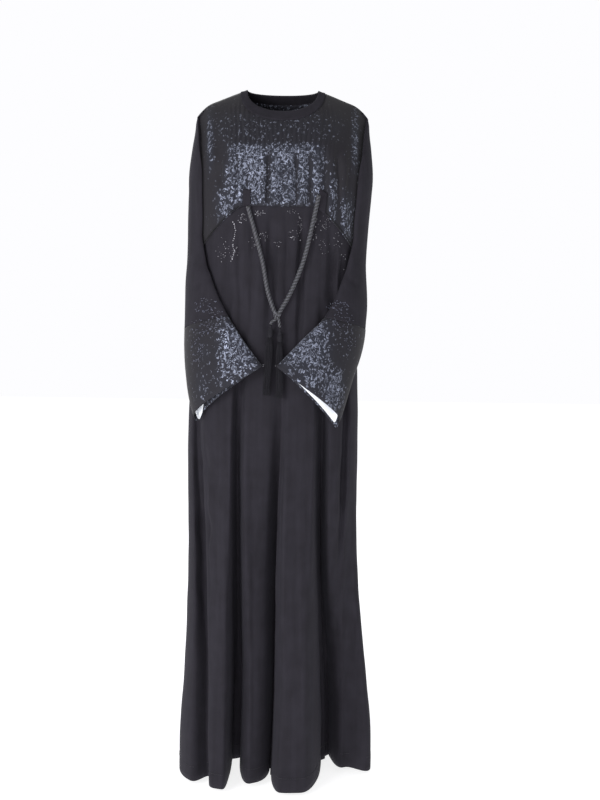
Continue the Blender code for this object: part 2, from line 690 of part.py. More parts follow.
def tassel(spec):
    """A bound head with square strands drawn out of its underside."""
    across = TASSEL_STRANDS_ACROSS
    bm = bmesh.new()
    bmesh.ops.create_grid(bm, x_segments=across, y_segments=across, size=1.0)
    for vert in bm.verts:
        x, y = vert.co.x, vert.co.y
        vert.co = Vector((x * math.sqrt(1 - y * y / 2), y * math.sqrt(1 - x * x / 2), 0)) * spec.radius
    underside = list(bm.faces)
    rim = [edge for edge in bm.edges if edge.is_boundary]
    profile = ((0.30, 1.02), (0.55, 0.80), (0.72, 0.52), (0.86, 0.56), (0.94, 0.50), (1.0, 0.34))
    for height, width in profile:
        verts = bmesh.ops.extrude_edge_only(bm, edges=rim)["geom"]
        rim = [item for item in verts if isinstance(item, bmesh.types.BMEdge)]
        ring = {vert for edge in rim for vert in edge.verts}
        for vert in ring:
            out = Vector((vert.co.x, vert.co.y, 0)).normalized() * spec.radius * width
            vert.co = Vector((out.x, out.y, spec.head * height))
        rim = [edge for edge in rim if edge.is_boundary]
    bmesh.ops.contextual_create(bm, geom=rim)
    bmesh.ops.inset_individual(bm, faces=underside, thickness=spec.radius * 0.055)
    length = math.hypot(spec.top_x - spec.low_x, spec.top_z - spec.low_z) - spec.head
    steps = (0.12, 0.30, 0.30, 0.28)
    spread = (1.04, 1.05, 1.02, 0.98)
    faces = underside
    for step, grow in zip(steps, spread):
        made = bmesh.ops.extrude_discrete_faces(bm, faces=faces)
        faces = made["faces"]
        for index, face in enumerate(faces):
            middle = face.calc_center_median()
            shift = Vector((middle.x * (grow - 1), middle.y * (grow - 1), -length * step))
            shift.z *= 1 + 0.05 * math.sin(2.4 * index)
            bmesh.ops.translate(bm, verts=face.verts, vec=shift)
    bmesh.ops.recalc_face_normals(bm, faces=bm.faces)
    top = on_front(Route(spec.top_x, spec.top_z, spec.out))
    low = on_front(Route(spec.low_x, spec.low_z, spec.out))
    axis = Vector(top - low).normalized()
    turn = Vector((0, 0, 1)).rotation_difference(axis).to_matrix().to_4x4()
    bmesh.ops.transform(bm, matrix=Matrix.Translation(Vector(top) - axis * spec.head) @ turn, verts=bm.verts)
    mesh = bpy.data.meshes.new(spec.name)
    bm.to_mesh(mesh)
    bm.free()
    return place(spec.name, mesh, TASSEL_YARN)


def build():
    for obj in list(bpy.data.objects):
        bpy.data.objects.remove(obj, do_unlink=True)
    collection = bpy.data.collections.new(COLLECTION)
    bpy.context.scene.collection.children.link(collection)
    skirt("skirt_front", SKIRT_COLUMNS, FRONT_FOLDS, back=False)
    skirt("skirt_back", SKIRT_BACK_COLUMNS, BACK_FOLDS, back=True)
    front_rows = bodice("bodice_front", back=False)
    bodice("bodice_back", back=True)
    neck_binding()
    for name, (left, right) in TABS.items():
        cord_tab(name, front_rows, left, right)
    sleeve("left", -1, LEFT_SECTIONS, LEFT_TONGUE)
    sleeve("right", 1, RIGHT_SECTIONS, RIGHT_TONGUE)
    rope("cord_left", LEFT_ROPE)
    rope("cord_right", RIGHT_ROPE)
    rope_knot()
    rope("cord_tail_left", LEFT_TAIL, TAIL, TAIL)
    rope("cord_tail_right", RIGHT_TAIL, TAIL, TAIL)
    for spec in TASSELS:
        tassel(spec)


build()
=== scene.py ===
# %% [markdown]
# # A long black kaftan with a foil yoke
#
# This lesson dresses a plain model of an evening kaftan: crepe cloth that falls in deep folds, a
# yoke and cuffs of black cloth with a crackled foil, a rope belt with tassels, and small stones.
# The plain model is loaded as a fixed frame. Each of its solids is then replaced by a finer piece
# in the same place, because cloth shows its quality in its small folds, seams and weave.

# %% Load the frame
import math
import random
from collections import namedtuple
from functools import lru_cache

import bmesh
import bpy
import numpy as np
from mathutils import Euler, Matrix, Vector, noise
from mathutils.bvhtree import BVHTree


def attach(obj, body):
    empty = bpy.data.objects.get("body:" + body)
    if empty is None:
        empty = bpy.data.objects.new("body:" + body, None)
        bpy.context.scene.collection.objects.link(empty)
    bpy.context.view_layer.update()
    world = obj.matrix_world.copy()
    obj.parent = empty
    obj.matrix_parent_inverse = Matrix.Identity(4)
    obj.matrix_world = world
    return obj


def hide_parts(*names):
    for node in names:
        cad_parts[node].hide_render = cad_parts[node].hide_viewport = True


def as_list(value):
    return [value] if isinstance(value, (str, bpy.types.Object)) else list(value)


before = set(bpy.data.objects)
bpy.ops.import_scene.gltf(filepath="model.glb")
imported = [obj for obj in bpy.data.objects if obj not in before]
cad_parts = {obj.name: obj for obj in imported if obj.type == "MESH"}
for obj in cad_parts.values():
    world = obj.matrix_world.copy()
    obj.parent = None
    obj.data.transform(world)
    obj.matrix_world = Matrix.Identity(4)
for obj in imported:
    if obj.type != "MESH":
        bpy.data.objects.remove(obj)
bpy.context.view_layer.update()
scene = bpy.context.scene

# %% [markdown]
# ## The camera
#
# The photograph was taken from about the height of the raised waist and slightly to the right, with
# the camera tipped down. A fairly long lens keeps the sides nearly parallel. It could be set by
# eye, but the shoulder and the hem have known heights, so its place was worked out from where they
# lie in the picture.

# %% Set the camera
WIDE, TALL = 600, 800
LENS, SENSOR = 62.2, 36.0
FOCAL = LENS / SENSOR * TALL
CAMERA_AT = Vector((0.0417, -2.80, -0.25))
TIPPED_DOWN = math.radians(7.45)
ROLLED = math.radians(0.747)
FRONT_PLANE = -0.13

camera_data = bpy.data.cameras.new("view")
camera_data.lens = LENS
camera_data.sensor_width = SENSOR
camera = bpy.data.objects.new("view", camera_data)
scene.collection.objects.link(camera)
camera.matrix_world = (Matrix.Translation(CAMERA_AT)
                       @ Euler((math.pi / 2 - TIPPED_DOWN, 0, 0)).to_matrix().to_4x4()
                       @ Matrix.Rotation(ROLLED, 4, "Z"))
scene.camera = camera


def sight(across, down):
    """Direction of the line of sight through a pixel of the photograph."""
    local = Vector(((across - WIDE / 2) / FOCAL, (TALL / 2 - down) / FOCAL, -1.0))
    return (camera.matrix_world.to_3x3() @ local).normalized()


def spot(across, down):
    """Where that line of sight meets an upright plane at the garment's front: its x and z."""
    line = sight(across, down)
    at = CAMERA_AT + line * ((FRONT_PLANE - CAMERA_AT.y) / line.y)
    return at.x, at.z


def seen_at(point):
    """The pixel of the photograph in which a point shows."""
    local = camera.matrix_world.inverted() @ Vector(point)
    return WIDE / 2 - FOCAL * local.x / local.z, TALL / 2 + FOCAL * local.y / local.z


def drawn(*pixels):
    """A line traced on the photograph, as places across and up."""
    return [spot(*pixel) for pixel in pixels]


print("waist seam in the picture is at height", round(spot(280, 206)[1], 3))

# %% [markdown]
# ## The form of the garment
#
# The cloth is a loft: a body form gives the outer shape, folds are pushed into it, and the sleeves
# are flattened loops that lie against it. The tables are the garment's own sizes. The same numbers
# shape the plain solids, so every finer piece lies exactly where its solid is.

# %% Sizes of the body form
LAP = 0.0023
SEAM_OVERLAP = 0.008
HEM = -1.394
HEM_RISE = 0.05
WAIST = -0.226
WAIST_DROP = 0.087
WAIST_FLAT = 0.066
WAIST_POWER = 1.4
BACK_WAIST = -0.310
SHOULDER_SLOPE = 0.40
SHOULDER_START = 0.070
SHOULDER_ROUND = 0.030
CHEST_RAMP, CHEST_POWER = 0.130, 0.8
BACK_RAMP, BACK_POWER = 0.160, 0.5
RIDGE_GAP = 0.0006
NECK_HALF = 0.082
NECK_DROP, NECK_BACK_DROP = 0.057, 0.020
INNER_DROP, INNER_BACK_DROP = 0.045, 0.008
NECK_POWER = 2.2
BINDING = 0.012
ARMHOLE_TOP, ARMHOLE_LOW = -0.052, -0.330
ARMHOLE_DEPTH = 0.066
ARMHOLE_POWER = 2.6
SECTION_POINTS = 181
GATHER_HEIGHT, GATHER_HALF, GATHER_TOP = 0.0035, 0.0055, -0.075
GATHERS = (-0.094, -0.079, -0.0515, -0.032, -0.011, 0.0143, 0.0414, 0.058, 0.0725, 0.0975, 0.1246)

Level = namedtuple("Level", "z centre half_width front back corner")
LEVELS = (
    Level(-1.40, -0.001, 0.2005, 0.148, 0.147, 2.4),
    Level(-1.32, -0.001, 0.2000, 0.148, 0.146, 2.4),
    Level(-1.18, -0.003, 0.1885, 0.147, 0.142, 2.4),
    Level(-0.96, -0.010, 0.1745, 0.145, 0.136, 2.4),
    Level(-0.62, -0.012, 0.1705, 0.142, 0.128, 2.5),
    Level(-0.45, -0.008, 0.1600, 0.138, 0.116, 2.6),
    Level(-0.33, -0.007, 0.1530, 0.134, 0.108, 2.8),
    Level(-0.26, -0.005, 0.1570, 0.133, 0.108, 2.9),
    Level(-0.20, -0.003, 0.1620, 0.128, 0.108, 3.0),
    Level(-0.08, 0.000, 0.1660, 0.112, 0.100, 3.0),
    Level(0.02, 0.000, 0.1660, 0.110, 0.098, 3.0),
)
print("heights in the body form:", len(LEVELS))

# %% Points on the body form


def smooth(t):
    """Ease from 0 to 1."""
    t = min(max(t, 0.0), 1.0)
    return t * t * (3 - 2 * t)


def mix(a, b, t):
    """The value a share t of the way from a to b."""
    return a + (b - a) * t


def through(xs, ys, x):
    """Value at x of a smooth curve through the points; xs rise."""
    slopes = np.gradient(ys, xs)
    i = int(np.clip(np.searchsorted(xs, x) - 1, 0, len(xs) - 2))
    step = xs[i + 1] - xs[i]
    t = min(max((x - xs[i]) / step, 0.0), 1.0)
    rise = ys[i + 1] - ys[i]
    start, end = slopes[i] * step, slopes[i + 1] * step
    return ys[i] + t * start + t * t * (3 * rise - 2 * start - end) + t ** 3 * (start + end - 2 * rise)


@lru_cache(maxsize=None)
def level(z):
    """The outer form's sizes at a height."""
    zs = np.array([row.z for row in LEVELS])
    return Level(*(float(through(zs, np.array(column), z)) for column in zip(*LEVELS)))


@lru_cache(maxsize=None)
def half_section(z, back, out):
    """Front or back half of the outer form at a height: x, y, and place from -1 to 1 along it."""
    form = level(z)
    half = form.half_width + out
    depth = (form.back if back else -form.front) + (out if back else -out)
    angle = np.linspace(-math.pi / 2, math.pi / 2, SECTION_POINTS)
    x = form.centre + half * np.sign(np.sin(angle)) * np.abs(np.sin(angle)) ** (2 / form.corner)
    y = depth * np.abs(np.cos(angle)) ** (2 / form.corner)
    run = np.concatenate([[0], np.cumsum(np.hypot(np.diff(x), np.diff(y)))])
    return x, y, 2 * run / run[-1] - 1, run[-1] / 2


def form_point(turn, z, out=0.0):
    """A point on the outer form, moved out; turn is 0 at the front, 1 at the right, 2 at the back."""
    back = abs(turn) > 1
    place = (2 - abs(turn)) * (1 if turn > 0 else -1) if back else turn
    x, y, places, _ = half_section(round(z, 5), back, round(out, 4))
    return np.array([np.interp(place, places, x), np.interp(place, places, y), z])


def turn_of(x, z, back=False):
    """The place along the half section whose x this is."""
    xs, _, places, _ = half_section(round(z, 5), back, 0.0)
    return float(np.interp(x, xs, places))


def turn_at_depth(y, z, back):
    """The place along the half section, from 0 to 1, whose depth this is."""
    _, ys, places, _ = half_section(round(z, 5), back, round(2 * LAP, 4))
    half = len(places) // 2
    return float(np.interp(-abs(y), -np.abs(ys[half:]), places[half:]))


print("half width at the hem:", round(level(HEM).half_width, 4))

# %% Shoulders, armholes and the waist seam


def shoulder(x):
    """Height of the shoulder line."""
    run = max(abs(x) - SHOULDER_START, 0.0)
    end = level(ARMHOLE_TOP).half_width
    last = max(abs(x) - (end - SHOULDER_ROUND), 0.0) / SHOULDER_ROUND
    tip = ARMHOLE_TOP + SHOULDER_SLOPE * (end - SHOULDER_START)
    return -SHOULDER_SLOPE * run + tip * min(last, 1.0) ** 2


def body_y(x, z, back, out):
    """Depth of the bodice at a place across and up, on the front or the back."""
    form = level(round(z, 5))
    across = min(abs(x - form.centre) / (form.half_width + out), 1.0)
    depth = (form.back if back else form.front) + out
    ramp, power = (BACK_RAMP, BACK_POWER) if back else (CHEST_RAMP, CHEST_POWER)
    down = min(max((shoulder(x - form.centre) + out - z) / ramp, 0.0), 1.0)
    y = depth * (1 - across ** form.corner) ** (1 / form.corner) * math.sin(math.pi / 2 * down) ** power
    return y if back else -y


def armhole_y(z, grow=0.0):
    """Half depth of the armhole at a height."""
    middle = (ARMHOLE_TOP + ARMHOLE_LOW) / 2
    half = (ARMHOLE_TOP - ARMHOLE_LOW) / 2 + grow
    reach = min(abs(z - middle) / half, 1.0)
    return ARMHOLE_DEPTH * (1 - reach ** ARMHOLE_POWER) ** (1 / ARMHOLE_POWER)


def armhole_floor(y):
    """Height of the armhole's lower edge at a depth; far up where there is no armhole."""
    reach = abs(y) / ARMHOLE_DEPTH
    if reach >= 1:
        return 1.0
    middle = (ARMHOLE_TOP + ARMHOLE_LOW) / 2
    half = (ARMHOLE_TOP - ARMHOLE_LOW) / 2
    return middle - half * (1 - reach ** ARMHOLE_POWER) ** (1 / ARMHOLE_POWER)


def armhole_half(z, back, out, grow=0.0):
    """Distance of the armhole's edge from the centre line at a height."""
    form = level(round(z, 5))
    depth = (form.back if back else form.front) + out
    reach = min(armhole_y(z, grow) / depth, 1.0)
    return (form.half_width + out) * (1 - reach ** form.corner) ** (1 / form.corner)


def waist(x):
    """Height of the front waist seam: level in the middle, curving down to the armholes."""
    side = armhole_half(WAIST - WAIST_DROP, False, LAP)
    run = max(abs(x - level(WAIST).centre) - WAIST_FLAT, 0.0) / (side - WAIST_FLAT)
    return WAIST - WAIST_DROP * min(run, 1.0) ** WAIST_POWER


print("waist seam at the armhole:", round(waist(-0.16), 3))

# %% [markdown]
# ## Materials
#
# Every colour is written as the hex value seen on screen and turned to the linear value that the
# shader needs. One helper adds a node with its settings and links, so each material reads as a
# short recipe. The patterns use Object coordinates, which stay fixed to the garment.

# %% Helpers for materials


def seen(hex_colour):
    """A colour as seen on screen, turned to the linear values that a shader takes."""
    parts = [int(hex_colour[i:i + 2], 16) / 255 for i in (1, 3, 5)]
    return (*(p / 12.92 if p <= 0.04045 else ((p + 0.055) / 1.055) ** 2.4 for p in parts), 1.0)


def feed(made, inputs):
    """Set a node's inputs. Each is a number, a colour, another node, or one of a node's outputs."""
    for socket, value in inputs.items():
        if isinstance(value, bpy.types.Node):
            value = value.outputs[0]
        if isinstance(value, bpy.types.NodeSocket):
            made.id_data.links.new(value, made.inputs[socket])
        else:
            made.inputs[socket].default_value = seen(value) if isinstance(value, str) else value


def node(tree, kind, inputs=(), **settings):
    """Add a node with its settings, then feed it."""
    made = tree.nodes.new("ShaderNode" + kind)
    for name, value in settings.items():
        setattr(made, name, value)
    feed(made, dict(inputs))
    return made


def new_material(name, colour, roughness, **values):
    """A material whose shader has its plain values set."""
    material = bpy.data.materials.new(name)
    material.use_nodes = True
    material.diffuse_color = seen(colour)
    shader = material.node_tree.nodes["Principled BSDF"]
    feed(shader, {"Base Color": colour, "Roughness": roughness})
    feed(shader, {socket.replace("_", " "): value for socket, value in values.items()})
    return material, material.node_tree, shader


def patterned(name, colour, roughness, size, cells=False, tones=(), bump=(), **values):
    """A material with one pattern of a real size, which shifts its tone, raises it, or both."""
    material, tree, shader = new_material(name, colour, roughness, **values)
    place = node(tree, "TexCoord").outputs["Object"]
    pattern = node(tree, "TexVoronoi" if cells else "TexNoise", {"Vector": place, "Scale": 1 / size})
    if cells:
        pattern = node(tree, "SeparateColor", {"Color": pattern.outputs["Color"]})
    if tones:
        tone = node(tree, "Mix", {0: pattern, 6: tones[0], 7: tones[1]}, data_type="RGBA")
        feed(shader, {"Base Color": tone.outputs[2]})
    if bump:
        raised = node(tree, "Bump", {"Height": pattern, "Strength": bump[0], "Distance": bump[1]})
        feed(shader, {"Normal": raised})
    return material


print("the crepe's linear colour:", [round(part, 4) for part in seen("#232227")[:3]])

# %% [markdown]
# Crepe is woven from hard-twisted polyester yarn, which crinkles the surface into a fine grain and
# takes away the shine. It looks charcoal where light falls on it and soft black in its folds. The
# real grain is about 0.5 mm, too fine for this picture, so it is drawn at 1.2 mm.

# %% Black crepe
CREPE_GRAIN, CREPE_SLUB, CREPE_CLOUD = 0.0012, 0.010, 0.030

crepe, tree, shader = new_material("matt_polyester_crepe", "#232227", 0.90, IOR=1.50, Sheen_Weight=0.06,
                                   Sheen_Roughness=0.55, Specular_IOR_Level=0.20, Sheen_Tint="#a3a1b4")
place = node(tree, "TexCoord").outputs["Object"]
streaks = node(tree, "Mapping", {"Vector": place, "Scale": (1.0, 1.0, 0.06)})
slub = node(tree, "TexNoise", {"Vector": streaks, "Scale": 1 / CREPE_SLUB})
cloudy = node(tree, "TexNoise", {"Vector": place, "Scale": 1 / CREPE_CLOUD})
grain = node(tree, "TexNoise", {"Vector": place, "Scale": 1 / CREPE_GRAIN})
both = node(tree, "Math", {0: slub, 1: cloudy}, operation="ADD")
share = node(tree, "MapRange", {"Value": both, "From Min": 0.7, "From Max": 1.3})
tone = node(tree, "Mix", {0: share, 6: "#201e24", 7: "#27252c"}, data_type="RGBA")
bump = node(tree, "Bump", {"Height": grain, "Strength": 0.35, "Distance": 0.0004})
feed(shader, {"Base Color": tone.outputs[2], "Normal": bump})
print("made", crepe.name)

# %% [markdown]
# The yoke and cuffs are black cloth with a crackled foil: a thin metal film is pressed on with hot
# glue and breaks into short curls. Each curl is a bright, slightly blue metal fleck, 1 mm wide and
# 3 to 6 mm long. A value painted on the cloth sets how many flecks show, how bright they are and
# how blue-grey the ground between them is. It is painted light and shade: high where light catches
# the bust and the cuffs, low in the shaded parts and in the creases, and even on faces turned to
# the back. A noise cut into thin level lines draws the curls.

# %% Crackled foil cloth
CURL, BREAK, FLECK = 0.0088, 0.0056, 0.0042

foil, tree, shader = new_material("foil_printed_satin", "#1c1c22", 0.7, IOR=1.50, Sheen_Weight=0.08,
                                  Sheen_Roughness=0.5, Specular_IOR_Level=0.25)
place = node(tree, "TexCoord").outputs["Object"]
place = node(tree, "Mapping", {"Vector": place, "Scale": (1.0, 1.0, 0.82)})
cover = node(tree, "Attribute", attribute_name="foil_glint_shade_mask").outputs["Fac"]
curl = node(tree, "TexNoise", {"Vector": place, "Scale": 1 / CURL, "Detail": 1.5, "Distortion": 0.8})
levels = node(tree, "Math", {0: curl, 1: 5.2}, operation="MULTIPLY")
folded = node(tree, "Math", {0: levels, 1: 0.5}, operation="PINGPONG")
line = node(tree, "MapRange", {"Value": folded, "From Min": 0.29, "From Max": 0.15})
broken = node(tree, "TexNoise", {"Vector": place, "Scale": 1 / BREAK, "Detail": 1.0})
# Painted highlight and shade: the mask sets how many flecks show, more where light catches, fewer in shade.
wanted = node(tree, "MapRange", {"Value": cover, "From Max": 1.2, "To Min": 0.70, "To Max": 0.36})
more = node(tree, "Math", {0: broken, 1: wanted}, operation="SUBTRACT")
kept = node(tree, "MapRange", {"Value": more, "From Min": -0.02, "From Max": 0.04})
mask = node(tree, "Math", {0: line, 1: kept}, operation="MULTIPLY")
cells = node(tree, "TexVoronoi", {"Vector": place, "Scale": 1 / FLECK})
shine = node(tree, "SeparateColor", {"Color": cells.outputs["Color"]})
bright = node(tree, "MapRange", {"Value": shine, "To Min": 0.25})
# Painted highlight: the mask also brightens the flecks and tints the ground blue-grey where light catches.
glint_brightness = node(tree, "MapRange", {"Value": cover, "From Max": 0.6, "To Min": 0.30})
fleck_glint = node(tree, "Math", {0: bright, 1: glint_brightness}, operation="MULTIPLY")
strength = node(tree, "Math", {0: mask, 1: fleck_glint}, operation="MULTIPLY")
ground_glint = node(tree, "MapRange", {"Value": cover, "To Max": 0.22})
ground = node(tree, "Mix", {0: ground_glint, 6: "#1d1b21", 7: "#363e4f"}, data_type="RGBA")
film = node(tree, "Mix", {0: strength, 6: ground.outputs[2], 7: "#969cb0"}, data_type="RGBA")
metal = node(tree, "Math", {0: strength, 1: 0.55}, operation="MULTIPLY")
dull = node(tree, "MapRange", {"Value": strength, "To Min": 0.75, "To Max": 0.46})
bump = node(tree, "Bump", {"Height": mask, "Strength": 0.6, "Distance": 0.0005})
feed(shader, {"Base Color": film.outputs[2], "Metallic": metal, "Roughness": dull, "Normal": bump})
print("made", foil.name)

# %% [markdown]
# The cuffs are faced with white polyester satin, which is smooth and softly shiny. The rope is
# viscose: its yarns are bright along their length, so the twist shows as light and dark slants. The
# tassels are the same yarn cut open, which swallows light. The stones are glass with a metal back,
# the long bugle beads are grey glass with a lustre, and the round seed beads are black glass. Each
# needs one pattern only, so one recipe serves them all.

# %% Satin, yarns, glass and thread
YARN_FIBRE, CUT_FIBRE, CUT_FACET, THREAD_TWIST, SATIN_PUCKER = 0.0008, 0.0015, 0.004, 0.001, 0.008

satin = patterned("white_polyester_satin", "#e6e9ef", 0.42, SATIN_PUCKER, bump=(0.4, 0.001), IOR=1.50,
                  Sheen_Weight=0.1)
# Painted highlight: the grey yarn is the black yarn drawn lighter, to stand for the glints along the rope's
# twist.
rope_yarn, glint_yarn = (patterned(name, tones[1], 0.45, YARN_FIBRE, tones=tones, bump=(0.5, 0.0004),
                                  IOR=1.53, Sheen_Weight=0.2, Sheen_Roughness=0.35)
                        for name, tones in (("black_viscose_yarn", ("#17171a", "#2b2b30")),
                                            ("viscose_yarn_painted_glint", ("#36363c", "#595962"))))
tassel_yarn = patterned("cut_viscose_yarn", "#151518", 0.9, CUT_FIBRE, tones=("#17161a", "#2c2b31"),
                        IOR=1.53, Specular_IOR_Level=0.15)
stone = patterned("foil_backed_glass", "#8e8f96", 0.30, CUT_FACET, cells=True,
                  tones=("#3c3c43", "#a09fa6"), Metallic=0.6)
jet = patterned("black_glass", "#0a0a0c", 0.55, CUT_FACET, cells=True, tones=("#060607", "#141417"),
                IOR=1.52, Specular_IOR_Level=0.3)
lustre = patterned("grey_lustre_glass", "#45464f", 0.42, CUT_FACET, cells=True,
                   tones=("#2a2a30", "#6a6d80"), IOR=1.52, Metallic=0.2)
sewing_thread, black_thread = (patterned(name, colour, 0.6, THREAD_TWIST, bump=(0.3, 0.0002), IOR=1.53)
                               for name, colour in (("polyester_thread", "#8d8d95"),
                                                    ("black_polyester_thread", "#2c2c31")))
print("materials:", len(bpy.data.materials))

# %% [markdown]
# ## The rope belt
#
# The belt is a soft twisted rope that comes out of two tabs at the raised waist, runs down in a V,
# is tied once, and ends in two tassels. A rope could be one tube with a bumpy finish, but its
# twist is what the eye sees, so four strands are wound round the line that the rope follows, black
# and grey in turn. The black rope's glints along the twist are painted: the grey strands are a
# painted highlight.

# %% Helpers that finish a piece
WELD = 1e-6


def finished(name, bm, material, replaces=(), smooth_shaded=True):
    """Turn a bmesh into a piece of the garment."""
    mesh = bpy.data.meshes.new(name)
    bm.to_mesh(mesh)
    bm.free()
    return finished_mesh(name, mesh, material, replaces, smooth_shaded)


def finished_mesh(name, mesh, material, replaces=(), smooth_shaded=True):
    """Turn a mesh into a piece of the garment; other materials that it has stay."""
    if mesh.materials:
        mesh.materials[0] = material
    else:
        mesh.materials.append(material)
    if smooth_shaded:
        mesh.shade_smooth()
    piece = bpy.data.objects.new(name, mesh)
    scene.collection.objects.link(piece)
    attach(piece, "root")
    if replaces:
        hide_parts(*replaces)
    return piece


def tubes(name, lines, radius, sides=6, tones=1):
    """A mesh of round tubes along lines of points, with their ends closed; tones are taken in turn."""
    curve = bpy.data.curves.new(name, "CURVE")
    for _ in range(tones):
        curve.materials.append(None)
    curve.dimensions = "3D"
    curve.bevel_depth = radius
    curve.bevel_resolution = max(0, sides // 2 - 2)
    curve.use_fill_caps = True
    for points in lines:
        spline = curve.splines.new("POLY")
        spline.material_index = len(curve.splines) % tones
        spline.points.add(len(points) - 1)
        for spline_point, point in zip(spline.points, points):
            spline_point.co = (*point[:3], 1.0)
            spline_point.radius = point[3] if len(point) > 3 else 1.0
    holder = bpy.data.objects.new(name, curve)
    mesh = bpy.data.meshes.new_from_object(holder)
    bpy.data.objects.remove(holder)
    bpy.data.curves.remove(curve)
    bm = bmesh.new()
    bm.from_mesh(mesh)
    bmesh.ops.remove_doubles(bm, verts=bm.verts, dist=WELD)
    bmesh.ops.recalc_face_normals(bm, faces=bm.faces)
    bm.to_mesh(mesh)
    bm.free()
    mesh.name = name
    return mesh


# %% The line that the rope follows
ROPE = 0.009
TAIL = 0.006
ROPE_STEP = 0.0016
TAPER_START, TAPER_RUN = 0.006, 0.012
STRANDS = 4
LAY = 0.0135
STRAND_OUT, STRAND_THICK = 0.52, 0.44
CURVE_POINTS = 60
Route = namedtuple("Route", "x z out")
LEFT_ROPE = (
    Route(-0.0625, -0.2271, 0.0070),
    Route(-0.0500, -0.2700, 0.0080),
    Route(-0.0337, -0.3310, 0.0075),
    Route(-0.0235, -0.3850, 0.0080),
    Route(-0.0101, -0.4252, 0.0103),
)
RIGHT_ROPE = (
    Route(0.0725, -0.2045, 0.0125),
    Route(0.0635, -0.2480, 0.0105),
    Route(0.0460, -0.3250, 0.0080),
    Route(0.0245, -0.3820, 0.0080),
    Route(0.0017, -0.4253, 0.0103),
)
KNOT_PLACE = Route(-0.0042, -0.4330, 0.0105)
LEFT_TAIL = (
    Route(-0.0080, -0.4418, 0.0112),
    Route(-0.0148, -0.4460, 0.0118),
    Route(-0.0163, -0.4505, 0.0120),
)
RIGHT_TAIL = (
    Route(-0.0010, -0.4420, 0.0112),
    Route(0.0002, -0.4490, 0.0120),
    Route(0.0010, -0.4560, 0.0125),
)


def on_front(place_on):
    """A route point in space."""
    x, y, z = form_point(turn_of(place_on.x, place_on.z), place_on.z, 0.0)
    return np.array([place_on.x, y - place_on.out, z])


def run_along(points):
    """The distance along a line at each of its points."""
    return np.concatenate([[0], np.cumsum(np.linalg.norm(np.diff(points, axis=0), axis=1))])


def at_run(points, run, distance):
    """The point at a distance along a line."""
    return [np.interp(distance, run, points[:, axis]) for axis in range(3)]


def smooth_line(points, step):
    """Evenly spaced points along a smooth curve through a few points."""
    knots = np.array(points)
    stations = np.arange(len(knots), dtype=float)
    fine = np.linspace(0, stations[-1], CURVE_POINTS * len(knots))
    curve = np.array([[through(stations, knots[:, axis], t) for axis in range(3)] for t in fine])
    run = run_along(curve)
    count = max(int(run[-1] / step), 2)
    return np.array([at_run(curve, run, d) for d in np.linspace(0, run[-1], count + 1)])


def strands_round(points, radii, lay=LAY):
    """Lines of strands that wind round a line, with the share of full thickness at each point."""
    points = [Vector(p) for p in points]
    ways = [(points[min(i + 1, len(points) - 1)] - points[max(i - 1, 0)]).normalized()
            for i in range(len(points))]
    side = ways[0].orthogonal().normalized()
    lines = [[] for _ in range(STRANDS)]
    run = 0.0
    for i, (point, way) in enumerate(zip(points, ways)):
        side = (side - way * side.dot(way)).normalized()
        other = way.cross(side)
        run += (point - points[i - 1]).length if i else 0.0
        for number, strand in enumerate(lines):
            angle = 2 * math.pi * (run / lay + number / STRANDS)
            at = point + (side * math.cos(angle) + other * math.sin(angle)) * radii[i] * STRAND_OUT
            strand.append((*at, radii[i] / radii[0]))
    return lines


# %% Twist the two ropes
def twisted(name, line, radii, thick, replaces, lay=LAY):
    """Strands in two tones wound round a line, as a piece."""
    mesh = tubes(name, strands_round(line, radii, lay), thick, sides=8, tones=2)
    piece = finished_mesh(name, mesh, rope_yarn, replaces)
    # Painted highlight: every other strand is the lighter yarn.
    mesh.materials[1] = glint_yarn
    return piece


def rope(name, route, tail, replaces):
    """A rope from its tab, through the knot, to its tassel."""
    line = smooth_line([on_front(p) for p in (*route, KNOT_PLACE, *tail)], ROPE_STEP)
    knot_z = on_front(KNOT_PLACE)[2]
    radii = [mix(ROPE, TAIL, smooth((knot_z + TAPER_START - p[2]) / TAPER_RUN)) / 2 for p in line]
    piece = twisted(name, line, radii, ROPE / 2 * STRAND_THICK, replaces)
    length = float(run_along(line)[-1])
    print(name, "is", round(length, 3), "m long")
    return piece, line, length


rope_left, left_line, left_length = rope("rope_left", LEFT_ROPE, LEFT_TAIL, ("cord_left", "cord_tail_left"))
rope_right, right_line, right_length = rope("rope_right", RIGHT_ROPE, RIGHT_TAIL,
                                            ("cord_right", "cord_tail_right"))

# %% [markdown]
# The two ropes are tied in one overhand knot, which is a trefoil: a single line that passes over
# and under itself three times. Its curve has a short formula, and the same strands wind round it.

# %% Tie the knot
KNOT_SIZE, KNOT_DEEP, KNOT_TALL = 0.00185, 1.1, 1.12
KNOT_ROPE, KNOT_STRAND, KNOT_LAY = 0.0030, 0.46, 0.012
KNOT_POINTS = 150


def trefoil(angle):
    """A point of the knot's curve round its middle."""
    return Vector((math.sin(angle) + 2 * math.sin(2 * angle), -KNOT_DEEP * math.sin(3 * angle),
                   KNOT_TALL * (math.cos(angle) - 2 * math.cos(2 * angle)))) * KNOT_SIZE


turns = [Vector(on_front(KNOT_PLACE)) + trefoil(2 * math.pi * i / KNOT_POINTS)
         for i in range(KNOT_POINTS + 1)]
knot = twisted("rope_knot", turns, [KNOT_ROPE] * len(turns), KNOT_ROPE * KNOT_STRAND, ("cord_knot",),
               KNOT_LAY)
print("knot faces:", len(knot.data.polygons))

# %% [markdown]
# A tassel is a hank of yarn folded over the rope's end and bound round the neck. Its head is turned
# on a lathe profile, the binding is a spiral of thread, and the yarns hang below, each with its own
# slight wave, so the skirt of the tassel is uneven as a real one is.

